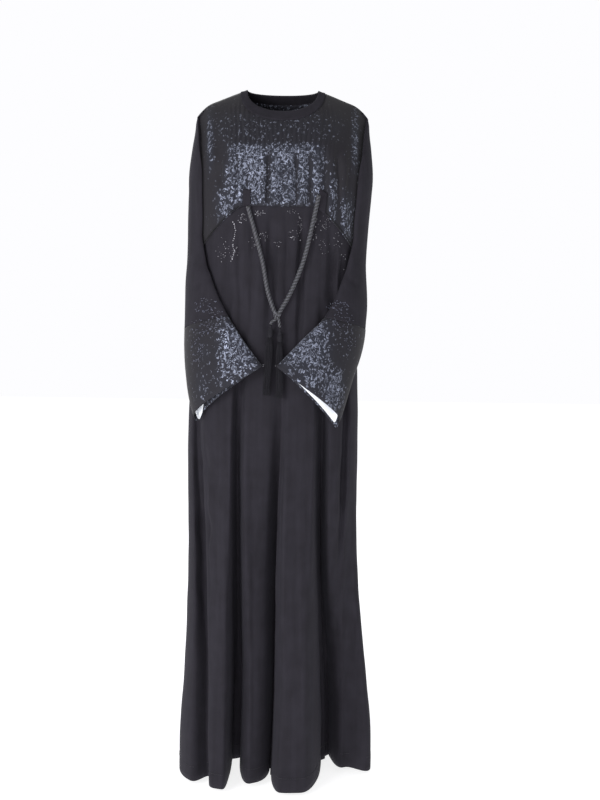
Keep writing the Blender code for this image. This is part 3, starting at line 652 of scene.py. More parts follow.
# %% Tassels
Tassel = namedtuple("Tassel", "name top_x top_z low_x low_z out radius head seed")
TASSELS = (
    Tassel("tassel_left", -0.0165, -0.4518, -0.0235, -0.5880, 0.0122, 0.0080, 0.027, 3),
    Tassel("tassel_right", 0.0012, -0.4570, 0.0020, -0.5930, 0.0127, 0.0072, 0.030, 8),
)
HEAD_PROFILE = ((0.0, 1.00), (1.6, 0.985), (2.6, 0.93), (2.7, 0.86), (2.2, 0.80), (3.4, 0.74),
                (4.4, 0.64), (4.9, 0.50), (5.0, 0.36), (4.6, 0.22), (4.0, 0.10))
PROFILE_RADIUS = 0.0075
YARNS, YARN_POINTS, YARN_RADIUS = 110, 8, 0.00052
YARN_START, YARN_SHORTER, YARN_SWAY = 0.9, 0.05, 0.001
NECK_SPREAD, NECK_RUN, CLOSING = 0.50, 0.22, 0.08
GOLDEN_TURN = 2.39996
LATHE_STEPS = 20
WINDING_TURNS, WINDING_POINTS, WINDING_ROUND, WINDING_THREAD = 8, 120, 0.0052, 0.0006
WINDING_FROM, WINDING_TO = 0.46, 0.70


def yarn_line(number, spec, length, seat, chance):
    """One hanging yarn of a tassel: it spreads below the head and sways a little."""
    wide = math.sqrt((number + 0.5) / YARNS) * spec.radius
    angle = number * GOLDEN_TURN
    drop = length * (1.0 - YARN_SHORTER * chance.random() ** 2)
    sway, phase = chance.uniform(0.2, 0.8) * YARN_SWAY, chance.uniform(0, 6.28)
    points = []
    for i in range(YARN_POINTS + 1):
        t = i / YARN_POINTS
        spread = mix(NECK_SPREAD, 1.0, smooth(t / NECK_RUN)) * (1 - CLOSING * t)
        x = math.cos(angle) * wide * spread + sway * math.sin(phase + 5.0 * t) * t
        y = math.sin(angle) * wide * spread + sway * math.cos(phase + 4.0 * t) * t
        points.append(tuple(seat @ Vector((x, y, -mix(spec.head * YARN_START, drop, t)))))
    return points


def tassel_head(spec, seat):
    """The turned head of a tassel, as a mesh: a point on top, rings of its profile and a flat end."""
    verts = [(0.0, 0.0, -spec.head * (1 - HEAD_PROFILE[0][1]))]
    rings = []
    for r, h in HEAD_PROFILE[1:]:
        wide = r / 1000 * spec.radius / PROFILE_RADIUS
        rings.append([len(verts) + i for i in range(LATHE_STEPS)])
        verts += [(wide * math.cos(angle), wide * math.sin(angle), -spec.head * (1 - h))
                  for angle in (2 * math.pi * i / LATHE_STEPS for i in range(LATHE_STEPS))]
    faces = [(0, rings[0][i - 1], rings[0][i]) for i in range(LATHE_STEPS)]
    faces += [(upper[i - 1], lower[i - 1], lower[i], upper[i])
              for upper, lower in zip(rings, rings[1:]) for i in range(LATHE_STEPS)]
    mesh = bpy.data.meshes.new("head")
    mesh.from_pydata([seat @ Vector(vert) for vert in verts], [], [*faces, rings[-1][::-1]])
    return mesh


def tassel(spec):
    """A turned head, its thread binding, and yarns that hang from it."""
    top = Vector(on_front(Route(spec.top_x, spec.top_z, spec.out)))
    low = Vector(on_front(Route(spec.low_x, spec.low_z, spec.out)))
    lift = Vector((0, 0, 1)).rotation_difference((top - low).normalized()).to_matrix().to_4x4()
    seat = Matrix.Translation(top) @ lift
    length = (top - low).length
    chance = random.Random(spec.seed)
    yarns = [yarn_line(number, spec, length, seat, chance) for number in range(YARNS)]
    wind = WINDING_ROUND * spec.radius / PROFILE_RADIUS
    spiral = []
    for i in range(WINDING_POINTS + 1):
        t = i / WINDING_POINTS
        angle = 2 * math.pi * i / (WINDING_POINTS / WINDING_TURNS)
        spiral.append(tuple(seat @ Vector((wind * math.cos(angle), wind * math.sin(angle),
                                           -spec.head * mix(WINDING_FROM, WINDING_TO, t)))))
    bm = bmesh.new()
    for mesh in (tubes("yarns", yarns, YARN_RADIUS, sides=4), tassel_head(spec, seat),
                 tubes("winding", [spiral], WINDING_THREAD)):
        bm.from_mesh(mesh)
        bpy.data.meshes.remove(mesh)
    piece = finished(spec.name + "_yarns", bm, tassel_yarn, (spec.name,))
    print(spec.name, "is", round(length, 3), "m long with", YARNS, "yarns")
    return piece


tassel_left, tassel_right = (tassel(spec) for spec in TASSELS)

for piece, line, length, on_it in ((rope_left, left_line, left_length, [knot, tassel_left]),
                                   (rope_right, right_line, right_length, [tassel_right])):
    tuple(line[0])
    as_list(on_it)

# %% [markdown]
# ## Cloth
#
# Every panel starts as a flat grid, like cloth on the cutting table. Each of its points is then put
# in its place on the form, and small creases are pressed in along the sheet's own normals. A crease
# is a line of a few points with a depth and a width, and it fades at both ends and wanders a
# little, because a ruler-straight crease looks printed. Simulation would find its own folds, but
# these have to lie where the real ones do, so they are placed one by one.

# %% A grid put in place
CLOTH = 0.0012


def cloth_grid(place_of, across, down):
    """A grid of cloth; place_of gives a point for places across and down, each from 0 to 1."""
    bm = bmesh.new()
    bmesh.ops.create_grid(bm, x_segments=across, y_segments=down, size=0.5)
    for vert in bm.verts:
        u, v = vert.co.x + 0.5, 0.5 - vert.co.y
        vert.co = place_of(round(u * across), round(v * down))
    bmesh.ops.remove_doubles(bm, verts=bm.verts, dist=WELD)
    bm.normal_update()
    return bm


Crease = namedtuple("Crease", "line depth width")
Wave = namedtuple("Wave", "size turns")
DEEPER, FINELY, WIDER = Wave(0.25, 41), Wave(0.15, 93), Wave(0.3, 57)
WIDTH_SHIFT, WIDER_SHIFT = 9000, 1.3
END_FADE, FACING_FRONT = 0.7, 2.2
COARSER = 3


def pressed(points, crease):
    """How deep a crease is at points across and up."""
    line = np.array(crease.line)
    steps = np.linalg.norm(np.diff(line, axis=0), axis=1)
    start = run_along(line)
    nearest = np.full(len(points), 1e9)
    along = np.zeros(len(points))
    for a, b, run, step in zip(line, line[1:], start, steps):
        way = (b - a) / step
        t = np.clip((points - a) @ way, 0, step)
        gap = np.linalg.norm(points - (a + t[:, None] * way), axis=1)
        closer = gap < nearest
        nearest = np.where(closer, gap, nearest)
        along = np.where(closer, run + t, along)
    ends = np.sin(np.pi * np.clip(along / start[-1], 0.02, 0.98)) ** END_FADE
    uneven = (1 + DEEPER.size * np.sin(along * DEEPER.turns + crease.width * WIDTH_SHIFT)
              + FINELY.size * np.sin(along * FINELY.turns))
    wide = crease.width * (1 + WIDER.size * np.sin(along * WIDER.turns + WIDER_SHIFT))
    return crease.depth * ends * uneven * np.exp(-(nearest / wide) ** 2)


def press(bm, creases, crumple, scale, front=True):
    """Press creases and a slight unevenness into a sheet, on its front or back face."""
    bm.normal_update()
    kept = bm.verts.layers.float.new("crease_depth")
    verts = list(bm.verts)
    at = np.array([vert.co for vert in verts])
    depth = np.zeros(len(verts))
    for crease in creases:
        depth += pressed(at[:, [0, 2]], crease)
    facing = np.array([-vert.normal.y if front else vert.normal.y for vert in verts])
    depth *= np.clip(facing * FACING_FRONT, 0, 1)
    for vert, amount in zip(verts, depth):
        vert[kept] = float(amount)
        soft = noise.noise(vert.co / scale) * crumple + noise.noise(vert.co / (scale * COARSER)) * crumple
        vert.co -= vert.normal * float(amount - soft)
    bm.normal_update()


def cloth_area(piece):
    """How much cloth a sheet has, on one side."""
    return sum(polygon.area for polygon in piece.data.polygons)


def panel(name, bm, material, stands_for, thickness=CLOTH):
    """Finish a sheet of cloth and give it its thickness."""
    piece = finished(name, bm, material, (stands_for,))
    wall = piece.modifiers.new("wall", "SOLIDIFY")
    wall.thickness = thickness
    wall.offset = 0.0
    wall.use_even_offset = False
    print(name, "has", round(cloth_area(piece), 4), "square metres of cloth")
    return piece


# %% [markdown]
# ## The skirt
#
# The skirt is two wide panels gathered into the raised waist. Gathers hang as soft tubes that
# deepen towards the hem. The long folds are those of the solids, which have rounded walls all the
# way. Near the hem of real crepe a deep valley has a flat floor and steep walls, so three front
# folds change to that form as they go down, each wall with its own run. Beside two of them the tube
# sinks back, which gives the hem its lobes. Between the folds come shorter puckers under the seam,
# where the fullness is eased in, and long shallow ripples.

# %% Folds of the skirt
Fold = namedtuple("Fold", "name hip hem half_width depth sideways top full end")
RUNS_OUT = -9.0
HIP = -0.70
FOLD_POWER = 3
FRONT_FOLDS = (
    Fold("left_edge", -0.166, -0.150, 0.014, 0.040, 0.35, -0.30, -1.20, RUNS_OUT),
    Fold("left_sharp", -0.080, -0.085, 0.0125, 0.142, 0.0, -0.34, -1.38, RUNS_OUT),
    Fold("left_recess", -0.045, -0.046, 0.034, 0.032, 0.0, -0.60, -1.36, RUNS_OUT),
    Fold("middle_soft", 0.005, -0.010, 0.011, 0.072, 0.0, -0.40, -1.38, RUNS_OUT),
    Fold("right_deep", 0.084, 0.107, 0.018, 0.140, 0.0, -0.30, -1.38, RUNS_OUT),
    Fold("right_recess", 0.140, 0.164, 0.048, 0.075, -0.30, -0.70, -1.36, RUNS_OUT),
    Fold("right_short", 0.133, 0.133, 0.009, 0.018, -0.20, -0.40, -0.66, -1.05),
    Fold("upper_left", -0.024, -0.024, 0.008, 0.009, 0.0, -0.235, -0.31, -0.52),
    Fold("upper_middle", 0.036, 0.036, 0.009, 0.010, 0.0, -0.235, -0.33, -0.60),
    Fold("upper_right", 0.104, 0.104, 0.009, 0.012, 0.0, -0.26, -0.35, -0.62),
)
BACK_FOLDS = (
    Fold("back_left_outer", -0.145, -0.158, 0.014, 0.040, 0.30, -0.36, -1.38, RUNS_OUT),
    Fold("back_left", -0.088, -0.102, 0.014, 0.070, 0.0, -0.34, -1.38, RUNS_OUT),
    Fold("back_left_inner", -0.034, -0.038, 0.012, 0.055, 0.0, -0.40, -1.38, RUNS_OUT),
    Fold("back_middle", 0.020, 0.026, 0.013, 0.072, 0.0, -0.33, -1.38, RUNS_OUT),
    Fold("back_right", 0.074, 0.087, 0.014, 0.060, 0.0, -0.38, -1.38, RUNS_OUT),
    Fold("back_right_outer", 0.130, 0.148, 0.014, 0.045, -0.30, -0.36, -1.38, RUNS_OUT),
)
HEM_FOLD_POWER = 2
HEM_EASE = 1.2
Sink = namedtuple("Sink", "fold side reach depth hem_depth")
SINK_TOP, SINK_RUN = -0.52, 0.45
SINKS = (
    Sink(3, -1, 0.068, 0.042, 0.034),
    Sink(4, 1, 0.100, 0.016, 0.012),
)
SLOPE_POWER = 1.6
Wall = namedtuple("Wall", "narrow floor run steep")
HEM_WALLS = {
    "left_sharp": (Wall(0.5, 0.007, 0.014, 1.0), Wall(0.9, 0.010, 0.026, 1.0)),
    "middle_soft": (Wall(1.0, 0.002, 0.035, 1.0), Wall(1.0, 0.002, 0.020, 1.0)),
    "right_deep": (Wall(0.85, 0.011, 0.045, 1.0), Wall(0.65, 0.012, 0.055, 0.0)),
}
print("folds:", len(FRONT_FOLDS), "in front,", len(BACK_FOLDS), "behind")

# %% Points of the skirt
SIDE_GAP = 0.00003
HEM_PLACES = 1500


def fold_depth(fold, z):
    """How deep a fold is at a height."""
    rise = smooth((fold.top - z) / (fold.top - fold.full))
    fade = 1 - smooth((fold.full - z) / (fold.full - fold.end)) if fold.end > HEM else 1.0
    return fold.depth * rise * fade


@lru_cache(maxsize=None)
def fold_places(folds, back):
    """Where the long folds lie at the hip and at the hem, with the side seams at the ends."""
    long_folds = [fold for fold in folds if fold.end == RUNS_OUT]
    hip = [-1.0, *(turn_of(fold.hip, HIP, back) for fold in long_folds), 1.0]
    hem = [-1.0, *(turn_of(fold.hem, HEM, back) for fold in long_folds), 1.0]
    return hip, hem, [float(np.interp(turn_of(fold.hip, HIP, back), hip, hem)) for fold in folds]


def fold_profile(fold, away, power, round_share):
    """How much of a fold's depth is left at a distance from its middle, from 1 to 0."""
    if fold.name not in HEM_WALLS:
        return math.exp(-abs(away / fold.half_width) ** power)
    wall = HEM_WALLS[fold.name][away > 0]
    bell = math.exp(-abs(away / fold.half_width / wall.narrow) ** power)
    left = 1 - min(max((abs(away) - wall.floor) / wall.run, 0.0), 1.0)
    return mix(bell, mix(left ** SLOPE_POWER, 1 - math.sqrt(1 - left ** 2), wall.steep), round_share)


def skirt_point(turn, z, folds, back, out=0.0):
    """A point of the skirt: the outer form with its folds pushed in. Turns are those at the hem."""
    hip, hem, middles = fold_places(folds, back)
    down = min(max((HIP - z) / (HIP - HEM), 0.0), 1.0)
    turn_now = float(np.interp(turn, hem, mix(np.array(hip), np.array(hem), down)))
    point = form_point(2 - turn_now if back else turn_now, z, out)
    unit = half_section(HEM, back, 0.0)[3]
    total = 0.0
    lower = smooth(down * HEM_EASE)
    power = mix(FOLD_POWER, HEM_FOLD_POWER, lower)
    for sink in () if back else SINKS:
        away = (turn - middles[sink.fold]) * unit * sink.side
        if 0 < away < sink.reach:
            depth = mix(sink.depth, sink.hem_depth, down ** 2)
            point[1] += depth * smooth((SINK_TOP - z) / SINK_RUN) * (1 - away / sink.reach) ** SLOPE_POWER
    for fold, middle in zip(folds, middles):
        push = fold_depth(fold, z) * fold_profile(fold, (turn - middle) * unit, power, lower)
        point[0] += push * fold.sideways
        point[1] += -push if back else push
        total += push
    point[2] += HEM_RISE * total * down ** 3
    return point


def skirt_columns(count, folds, back):
    """Places along the half section, evenly spaced on the folded hem."""
    unit = half_section(HEM, back, 0.0)[3]
    edge = 1 - SIDE_GAP / unit
    turns = np.linspace(-edge, edge, HEM_PLACES)
    hem = np.array([skirt_point(t, HEM, folds, back)[:2] for t in turns])
    steps = np.hypot(*np.diff(hem, axis=0).T) + np.diff(turns) * unit
    run = np.concatenate([[0], np.cumsum(steps)])
    return np.interp(np.linspace(0, run[-1], count + 1), run, turns)


def skirt_top(turn, back):
    """Height of the skirt's upper edge: tucked under the bodice, or at the armhole's lower edge."""
    x, y, _ = form_point(2 - turn if back else turn, BACK_WAIST)
    seam = BACK_WAIST if back else waist(x)
    return min(seam + SEAM_OVERLAP, armhole_floor(y))


# %% Front and back skirt
SKIRT_ACROSS, SKIRT_DOWN = 300, 110
ROW_SPREAD = 1.15
HEM_TURNING, HEM_THICK = 0.030, 0.0004
FRONT_CREASES = (
    Crease(drawn((228, 228), (226, 290), (230, 350)), 0.0055, 0.008),
    Crease(drawn((240, 214), (238, 260), (242, 320)), 0.0040, 0.006),
    Crease(drawn((249, 210), (252, 250), (251, 330)), 0.0036, 0.007),
    Crease(drawn((270, 209), (271, 260), (269, 350)), 0.0060, 0.008),
    Crease(drawn((286, 209), (287, 250), (285, 320)), 0.0040, 0.006),
    Crease(drawn((302, 209), (303, 260), (300, 345)), 0.0062, 0.007),
    Crease(drawn((312, 209), (313, 235), (312, 270)), 0.0030, 0.005),
    Crease(drawn((330, 216), (331, 262), (326, 310)), 0.0050, 0.007),
    Crease(drawn((341, 230), (343, 262), (340, 300)), 0.0040, 0.006),
    Crease(drawn((214, 410), (214, 540), (209, 700)), 0.0040, 0.012),
    Crease(drawn((203, 420), (203, 500), (203, 640)), 0.0080, 0.011),
    Crease(drawn((251, 440), (253, 600), (252, 760)), 0.0030, 0.011),
    Crease(drawn((296, 440), (297, 600), (298, 770)), 0.0035, 0.014),
    Crease(drawn((306, 430), (307, 520), (306, 600)), 0.0025, 0.008),
    Crease(drawn((343, 430), (343, 500), (342, 565)), 0.0050, 0.006),
    Crease(drawn((352, 500), (355, 640), (360, 740)), 0.0040, 0.012),
    Crease(drawn((335, 560), (338, 660), (345, 760)), 0.0040, 0.012),
)
BACK_CREASES = (
    Crease([(-0.126, -0.330), (-0.128, -0.44), (-0.125, -0.60)], 0.0030, 0.006),
    Crease([(-0.108, -0.325), (-0.110, -0.40), (-0.112, -0.50)], 0.0026, 0.005),
    Crease([(-0.070, -0.325), (-0.068, -0.42), (-0.066, -0.56)], 0.0032, 0.006),
    Crease([(-0.052, -0.325), (-0.054, -0.39), (-0.052, -0.47)], 0.0024, 0.004),
    Crease([(-0.012, -0.325), (-0.010, -0.42), (-0.014, -0.58)], 0.0030, 0.006),
    Crease([(0.006, -0.325), (0.004, -0.38), (0.006, -0.45)], 0.0024, 0.004),
    Crease([(0.044, -0.325), (0.046, -0.41), (0.050, -0.52)], 0.0028, 0.005),
    Crease([(0.060, -0.325), (0.060, -0.38), (0.057, -0.44)], 0.0024, 0.004),
    Crease([(0.100, -0.325), (0.102, -0.43), (0.104, -0.58)], 0.0030, 0.006),
    Crease([(0.116, -0.325), (0.114, -0.39), (0.117, -0.48)], 0.0026, 0.005),
    Crease([(-0.118, -0.66), (-0.124, -0.90), (-0.132, -1.26)], 0.0032, 0.012),
    Crease([(-0.058, -0.62), (-0.060, -0.90), (-0.068, -1.32)], 0.0030, 0.011),
    Crease([(-0.006, -0.70), (-0.004, -0.96), (-0.006, -1.30)], 0.0028, 0.011),
    Crease([(0.048, -0.62), (0.050, -0.88), (0.056, -1.28)], 0.0030, 0.011),
    Crease([(0.104, -0.66), (0.108, -0.92), (0.118, -1.30)], 0.0030, 0.012),
)


def skirt(name, folds, back, creases):
    """A skirt panel with its folds, creases and turned hem."""
    columns = skirt_columns(SKIRT_ACROSS, folds, back)
    if back:
        columns = columns[::-1]
    tops = [skirt_top(turn, back) for turn in columns]

    def place_of(i, j):
        z = mix(tops[i], HEM, (j / SKIRT_DOWN) ** ROW_SPREAD)
        return skirt_point(columns[i], z, folds, back, HEM_THICK if z < HEM + HEM_TURNING else 0.0)

    bm = cloth_grid(place_of, SKIRT_ACROSS, SKIRT_DOWN)
    press(bm, creases, crumple=0.0007, scale=0.055, front=not back)
    return panel(name + "_cloth", bm, crepe, name)


skirt_front = skirt("skirt_front", FRONT_FOLDS, False, FRONT_CREASES)
skirt_back = skirt("skirt_back", BACK_FOLDS, True, BACK_CREASES)

# %% [markdown]
# ## The yoke
#
# The bodice is cut in one from the shoulder to the raised waist, and its fullness is gathered into
# the waist seam. Each gather is a ridge that stands out at the seam and dies away towards the
# shoulder. Above the bust the cloth lies in fine upright pleats.

# %% Where the foil is painted with a highlight
Patch = namedtuple("Patch", "across down half_across half_down cover power")
# Painted highlight: ovals, placed by where they show in the camera's view, in which the foil is drawn dense
# and bright because light catches the cloth there.
YOKE_GLINT = (
    Patch(274, 174, 51, 32, 1.06, 10),
    Patch(226, 203, 10, 18, 0.85, 3),
    Patch(333, 198, 5, 30, 0.74, 3),
    Patch(347, 220, 7, 28, 0.84, 3),
    Patch(210.5, 140, 4, 28, 0.85, 3),
    Patch(355, 142, 4, 30, 0.90, 3),
    Patch(333, 128, 12, 11, 0.42, 2),
    Patch(276, 128, 66, 16, 0.34, 6),
)
LEFT_CUFF_GLINT = (
    Patch(239, 349, 23, 33, 1.15, 3),
    Patch(230, 374, 19, 19, 0.75, 2),
    Patch(205, 352, 12, 12, 0.42, 2),
    Patch(203, 386, 9, 20, 0.50, 2),
    Patch(222, 398, 18, 12, 0.38, 2),
)
RIGHT_CUFF_GLINT = (
    Patch(306, 345, 27, 31, 1.20, 3),
    Patch(332, 389, 12, 24, 1.10, 3),
    Patch(312, 376, 20, 18, 0.95, 2),
    Patch(347, 345, 10, 26, 0.25, 2),
)
# Painted shade: the deeper a crease, the fewer and dimmer the foil flecks in it.
CREASE_SHADE, CREASE_SHADE_DEPTH = 0.65, 0.0034
TURNED_AWAY = 1.5


def paint_foil_glint_and_shade(bm, patches, base, behind):
    """Paint the foil mask: painted highlight in patches in front, painted shade in creases, an even level
    behind.
    """
    layer = bm.verts.layers.float.new("foil_glint_shade_mask")
    depth = bm.verts.layers.float["crease_depth"]
    for vert in bm.verts:
        cover = base
        across, down = seen_at(vert.co)
        for patch in patches:
            reach = (abs((across - patch.across) / patch.half_across) ** patch.power
                     + abs((down - patch.down) / patch.half_down) ** patch.power)
            cover = max(cover, patch.cover * math.exp(-reach))
        # Painted shade in the creases.
        cover *= 1 - CREASE_SHADE * smooth(vert[depth] / CREASE_SHADE_DEPTH)
        vert[layer] = mix(behind, cover, smooth(0.5 - vert.normal.y * TURNED_AWAY))


# %% Front and back bodice
BODICE_ACROSS, BODICE_DOWN = 200, 70
BODICE_SPREAD = math.pi / 2 * 0.85
PLEAT, PLEAT_DEPTH, PLEAT_WAVER = 0.0092, 0.0013, 1.5
PLEAT_LOW, PLEAT_TOP, PLEAT_HALF = -0.150, -0.020, 0.115
LOW_FADE, TOP_FADE, SIDE_FADE = 0.045, 0.020, 0.03
BACK_PLEATS, BACK_SHIFT = 0.6, 0.02
TURN_IN, TURN_START, TURN_RUN = 0.0010, 0.975, 0.025


def gather(x, z):
    """How far the yoke's gathers stand out at a place."""
    strength = GATHER_HEIGHT * smooth((GATHER_TOP - z) / (GATHER_TOP - WAIST))
    return strength * sum(math.exp(-((x - ridge) / GATHER_HALF) ** 2) for ridge in GATHERS)


def pleats(x, z):
    """Fine upright pleats above the bust."""
    fade = (smooth((z - PLEAT_LOW) / LOW_FADE) * smooth((PLEAT_TOP - z) / TOP_FADE)
            * smooth((PLEAT_HALF - abs(x)) / SIDE_FADE))
    waver = PLEAT_WAVER * math.sin(z * 60 + x * 30)
    return PLEAT_DEPTH * fade * math.cos(2 * math.pi * x / PLEAT + waver)


def neckline(x, drop, half):
    """Height of the neck edge at a place across."""
    reach = min(abs(x) / half, 1.0)
    return shoulder(half) - drop * (1 - reach ** NECK_POWER) ** (1 / NECK_POWER)


def bodice_top(x, back):
    """Height of the bodice's upper edge: the neckline, then the shoulder."""
    drop = NECK_BACK_DROP if back else NECK_DROP
    return LAP + (neckline(x, drop, NECK_HALF) if abs(x) < NECK_HALF else shoulder(x))


def bodice_point(across, down, back):
    """A point of the bodice; across runs from -1 to 1 between the armholes."""
    wide = level(ARMHOLE_TOP).half_width
    top = bodice_top(across * wide, back)
    side = armhole_half(WAIST, back, LAP)
    low = BACK_WAIST if back else waist(level(WAIST).centre + across * side)
    z = mix(top, low, down)
    x = level(round(z, 5)).centre + across * armhole_half(z, back, LAP)
    y = body_y(x, z, back, LAP)
    if back:
        return np.array([x, max(y + BACK_PLEATS * pleats(x, z - BACK_SHIFT), RIDGE_GAP), z])
    return np.array([x, min(y, -RIDGE_GAP) - gather(x, z) - pleats(x, z), z])


YOKE_CREASES = (
    Crease(drawn((268.5, 146), (268.5, 178), (267, 210)), 0.0052, 0.0055),
    Crease(drawn((296.5, 148), (296.5, 180), (297, 210)), 0.0042, 0.0042),
    Crease(drawn((310.5, 148), (310.5, 180), (311, 210)), 0.0056, 0.0060),
    Crease(drawn((248, 150), (247, 180), (247, 208)), 0.0022, 0.0040),
    Crease(drawn((237, 150), (236, 180), (236, 208)), 0.0022, 0.0036),
    Crease(drawn((283, 150), (284, 180), (283, 208)), 0.0018, 0.0035),
    Crease(drawn((222, 140), (220, 165), (218, 190)), 0.0040, 0.0070),
    Crease(drawn((338, 150), (340, 180), (339, 215)), 0.0040, 0.0050),
    Crease(drawn((326, 150), (325, 180), (326, 205)), 0.0024, 0.0045),
    Crease([(-0.128, -0.085), (-0.126, -0.13), (-0.122, -0.19)], 0.0035, 0.008),
    Crease([(0.118, -0.070), (0.112, -0.12), (0.108, -0.18)], 0.0026, 0.008),
    Crease([(0.134, -0.10), (0.133, -0.15), (0.128, -0.21)], 0.0022, 0.006),
    Crease([(-0.108, -0.10), (-0.104, -0.15), (-0.100, -0.20)], 0.0016, 0.005),
)
YOKE_BACK_CREASES = (
    Crease([(-0.120, -0.08), (-0.118, -0.16), (-0.112, -0.27)], 0.0028, 0.008),
    Crease([(0.118, -0.09), (0.115, -0.18), (0.110, -0.28)], 0.0028, 0.008),
    Crease([(-0.060, -0.20), (-0.058, -0.25), (-0.059, -0.305)], 0.0022, 0.005),
    Crease([(-0.020, -0.22), (-0.021, -0.26), (-0.020, -0.305)], 0.0022, 0.005),
    Crease([(0.018, -0.20), (0.020, -0.25), (0.019, -0.305)], 0.0022, 0.005),
    Crease([(0.058, -0.22), (0.057, -0.26), (0.059, -0.305)], 0.0022, 0.005),
)


def bodice(name, back, patches, base, behind, creases):
    """A bodice panel whose lower edge is turned in at the waist seam."""
    def place_of(i, j):
        across = math.sin(mix(-1, 1, i / BODICE_ACROSS) * BODICE_SPREAD) / math.sin(BODICE_SPREAD)
        down = j / BODICE_DOWN
        point = bodice_point(-across if back else across, down, back)
        edge = smooth((down - TURN_START) / TURN_RUN) * TURN_IN
        point[1] += -edge if back else edge
        return point

    bm = cloth_grid(place_of, BODICE_ACROSS, BODICE_DOWN)
    press(bm, creases, crumple=0.0004, scale=0.03, front=not back)
    paint_foil_glint_and_shade(bm, patches, base, behind)
    return panel(name + "_cloth", bm, foil, name)


bodice_front = bodice("bodice_front", False, YOKE_GLINT, base=0.0, behind=0.3, creases=YOKE_CREASES)
bodice_back = bodice("bodice_back", True, (), base=0.3, behind=0.55, creases=YOKE_BACK_CREASES)

# %% [markdown]
# The neck edge is bound with a strip of the crepe that shows 12 mm wide from the front. It is a
# ring that carries on the surface of the bodice, slightly thicker because the strip is folded over
# the raw edge. The tabs are small folded loops of crepe, stitched on over the waist seam.

# %% Neck binding and the cord's tabs
BINDING_ACROSS, BINDING_DOWN = 160, 8
BINDING_WALL = 0.0022
BINDING_LIFT, BINDING_EASE, BINDING_TUCK = 0.0010, 0.5, -0.12


def binding_point(i, j):
    """A point of the ring: once round the neck, from the outer edge in."""
    part = mix(BINDING_TUCK, 1.0, j / BINDING_DOWN)
    lift = BINDING_LIFT * (1 - smooth(part / BINDING_EASE))
    turn = 4 * (i % BINDING_ACROSS) / BINDING_ACROSS
    back = turn >= 2
    across = math.sin(math.pi / 2 * (turn - 1)) if not back else -math.sin(math.pi / 2 * (turn - 3))
    outer_drop, inner_drop = (NECK_BACK_DROP, INNER_BACK_DROP) if back else (NECK_DROP, INNER_DROP)
    drop = mix(outer_drop, inner_drop, part)
    half = mix(NECK_HALF, NECK_HALF - BINDING, part)
    x = across * half
    z = neckline(x, drop, half) + LAP + lift
    return np.array([x, body_y(x, z - lift, back, LAP) + (lift if back else -lift), z])


bm = cloth_grid(binding_point, BINDING_ACROSS, BINDING_DOWN)
neck_binding = panel("neck_binding_strip", bm, crepe, "neck_binding", BINDING_WALL)

TABS = {"cord_tab_left": (-0.0724, -0.0581), "cord_tab_right": (0.0725, 0.0860)}
TAB_ACROSS, TAB_DOWN = 12, 14
TAB_LONG, YOKE_LONG = 0.034, 0.20
TAB_OUT, TAB_ROUND, TAB_WALL = 0.0028, 0.0012, 0.0024
waist_centre, waist_half = level(WAIST).centre, armhole_half(WAIST, False, LAP)


def tab(name, left, right):
    """A tab between two places across, which reaches up from the waist seam."""
    def place_of(i, j):
        across = (mix(left, right, i / TAB_ACROSS) - waist_centre) / waist_half
        point = bodice_point(across, 1 - TAB_LONG / YOKE_LONG * (1 - j / TAB_DOWN), False)
        point[1] -= TAB_OUT - TAB_ROUND * abs(2 * i / TAB_ACROSS - 1) ** 4
        return point

    bm = cloth_grid(place_of, TAB_ACROSS, TAB_DOWN)
    return panel(name + "_loop", bm, crepe, name, TAB_WALL)


tabs = [tab(name, *edges) for name, edges in TABS.items()]

# %% [markdown]
# ## Sleeves
#
# The sleeves are wide tubes, set into upright armholes, that hang forward and cross the front of
# the body. Each row is a flattened loop between a front fold and a back fold. The cuffs carry on
# the same loop in foil cloth, and at the open end the under layer reaches past the upper one, which
# is where the white facing shows.

# %% Sections of the sleeves
Section = namedtuple("Section", "name front_turn front_z front_room back_turn back_z back_room open")
LEFT_SECTIONS = (
    Section("upper_arm", 0.725, -0.200, 0.006, 1.36, -0.200, 0.006, 0.0130),
    Section("lower_arm", 0.680, -0.270, 0.006, 1.36, -0.270, 0.006, 0.0185),
    Section("armpit", 0.600, -0.334, 0.007, 1.34, -0.340, 0.007, 0.0205),
    Section("elbow", 0.532, -0.362, 0.008, 1.29, -0.395, 0.008, 0.0205),
    Section("forearm", 0.448, -0.400, 0.009, 1.19, -0.440, 0.008, 0.0175),
    Section("band_seam", 0.355, -0.436, 0.011, 1.03, -0.486, 0.008, 0.0160),
    Section("band_middle", 0.225, -0.480, 0.017, 0.80, -0.556, 0.007, 0.0175),
    Section("open_end", 0.075, -0.530, 0.025, 0.610, -0.640, 0.007, 0.0210),
)
RIGHT_SECTIONS = (
    Section("upper_arm", 0.710, -0.200, 0.006, 1.36, -0.200, 0.006, 0.0140),
    Section("lower_arm", 0.690, -0.270, 0.006, 1.36, -0.270, 0.006, 0.0165),
    Section("armpit", 0.611, -0.334, 0.007, 1.33, -0.340, 0.007, 0.0175),
    Section("elbow", 0.545, -0.364, 0.008, 1.27, -0.392, 0.008, 0.0170),
    Section("forearm", 0.460, -0.403, 0.009, 1.14, -0.434, 0.008, 0.0160),
    Section("band_seam", 0.365, -0.438, 0.011, 0.95, -0.475, 0.008, 0.0140),
    Section("band_middle", 0.190, -0.480, 0.017, 0.665, -0.550, 0.007, 0.0175),
    Section("open_end", 0.020, -0.530, 0.025, 0.505, -0.640, 0.007, 0.0210),
)
SHOULDER_EASE = 0.135
SHOULDER_LIP = np.array((0.0035, 0.0060, 0.0))
TOP_LIP = np.array((0.0035, 0.0020, 0.0))
BULGE_HEIGHTS = (-0.110, -0.064, -0.052)
BULGES = (0.0115, 0.0045, 0.0)
LIP_TURN = 0.045
CAP_LAP, CAP_DEPTH, CAP_HALVINGS = 0.010, 0.04, 24
SEAM_LAP = 0.0045
LIP_START = 0.010
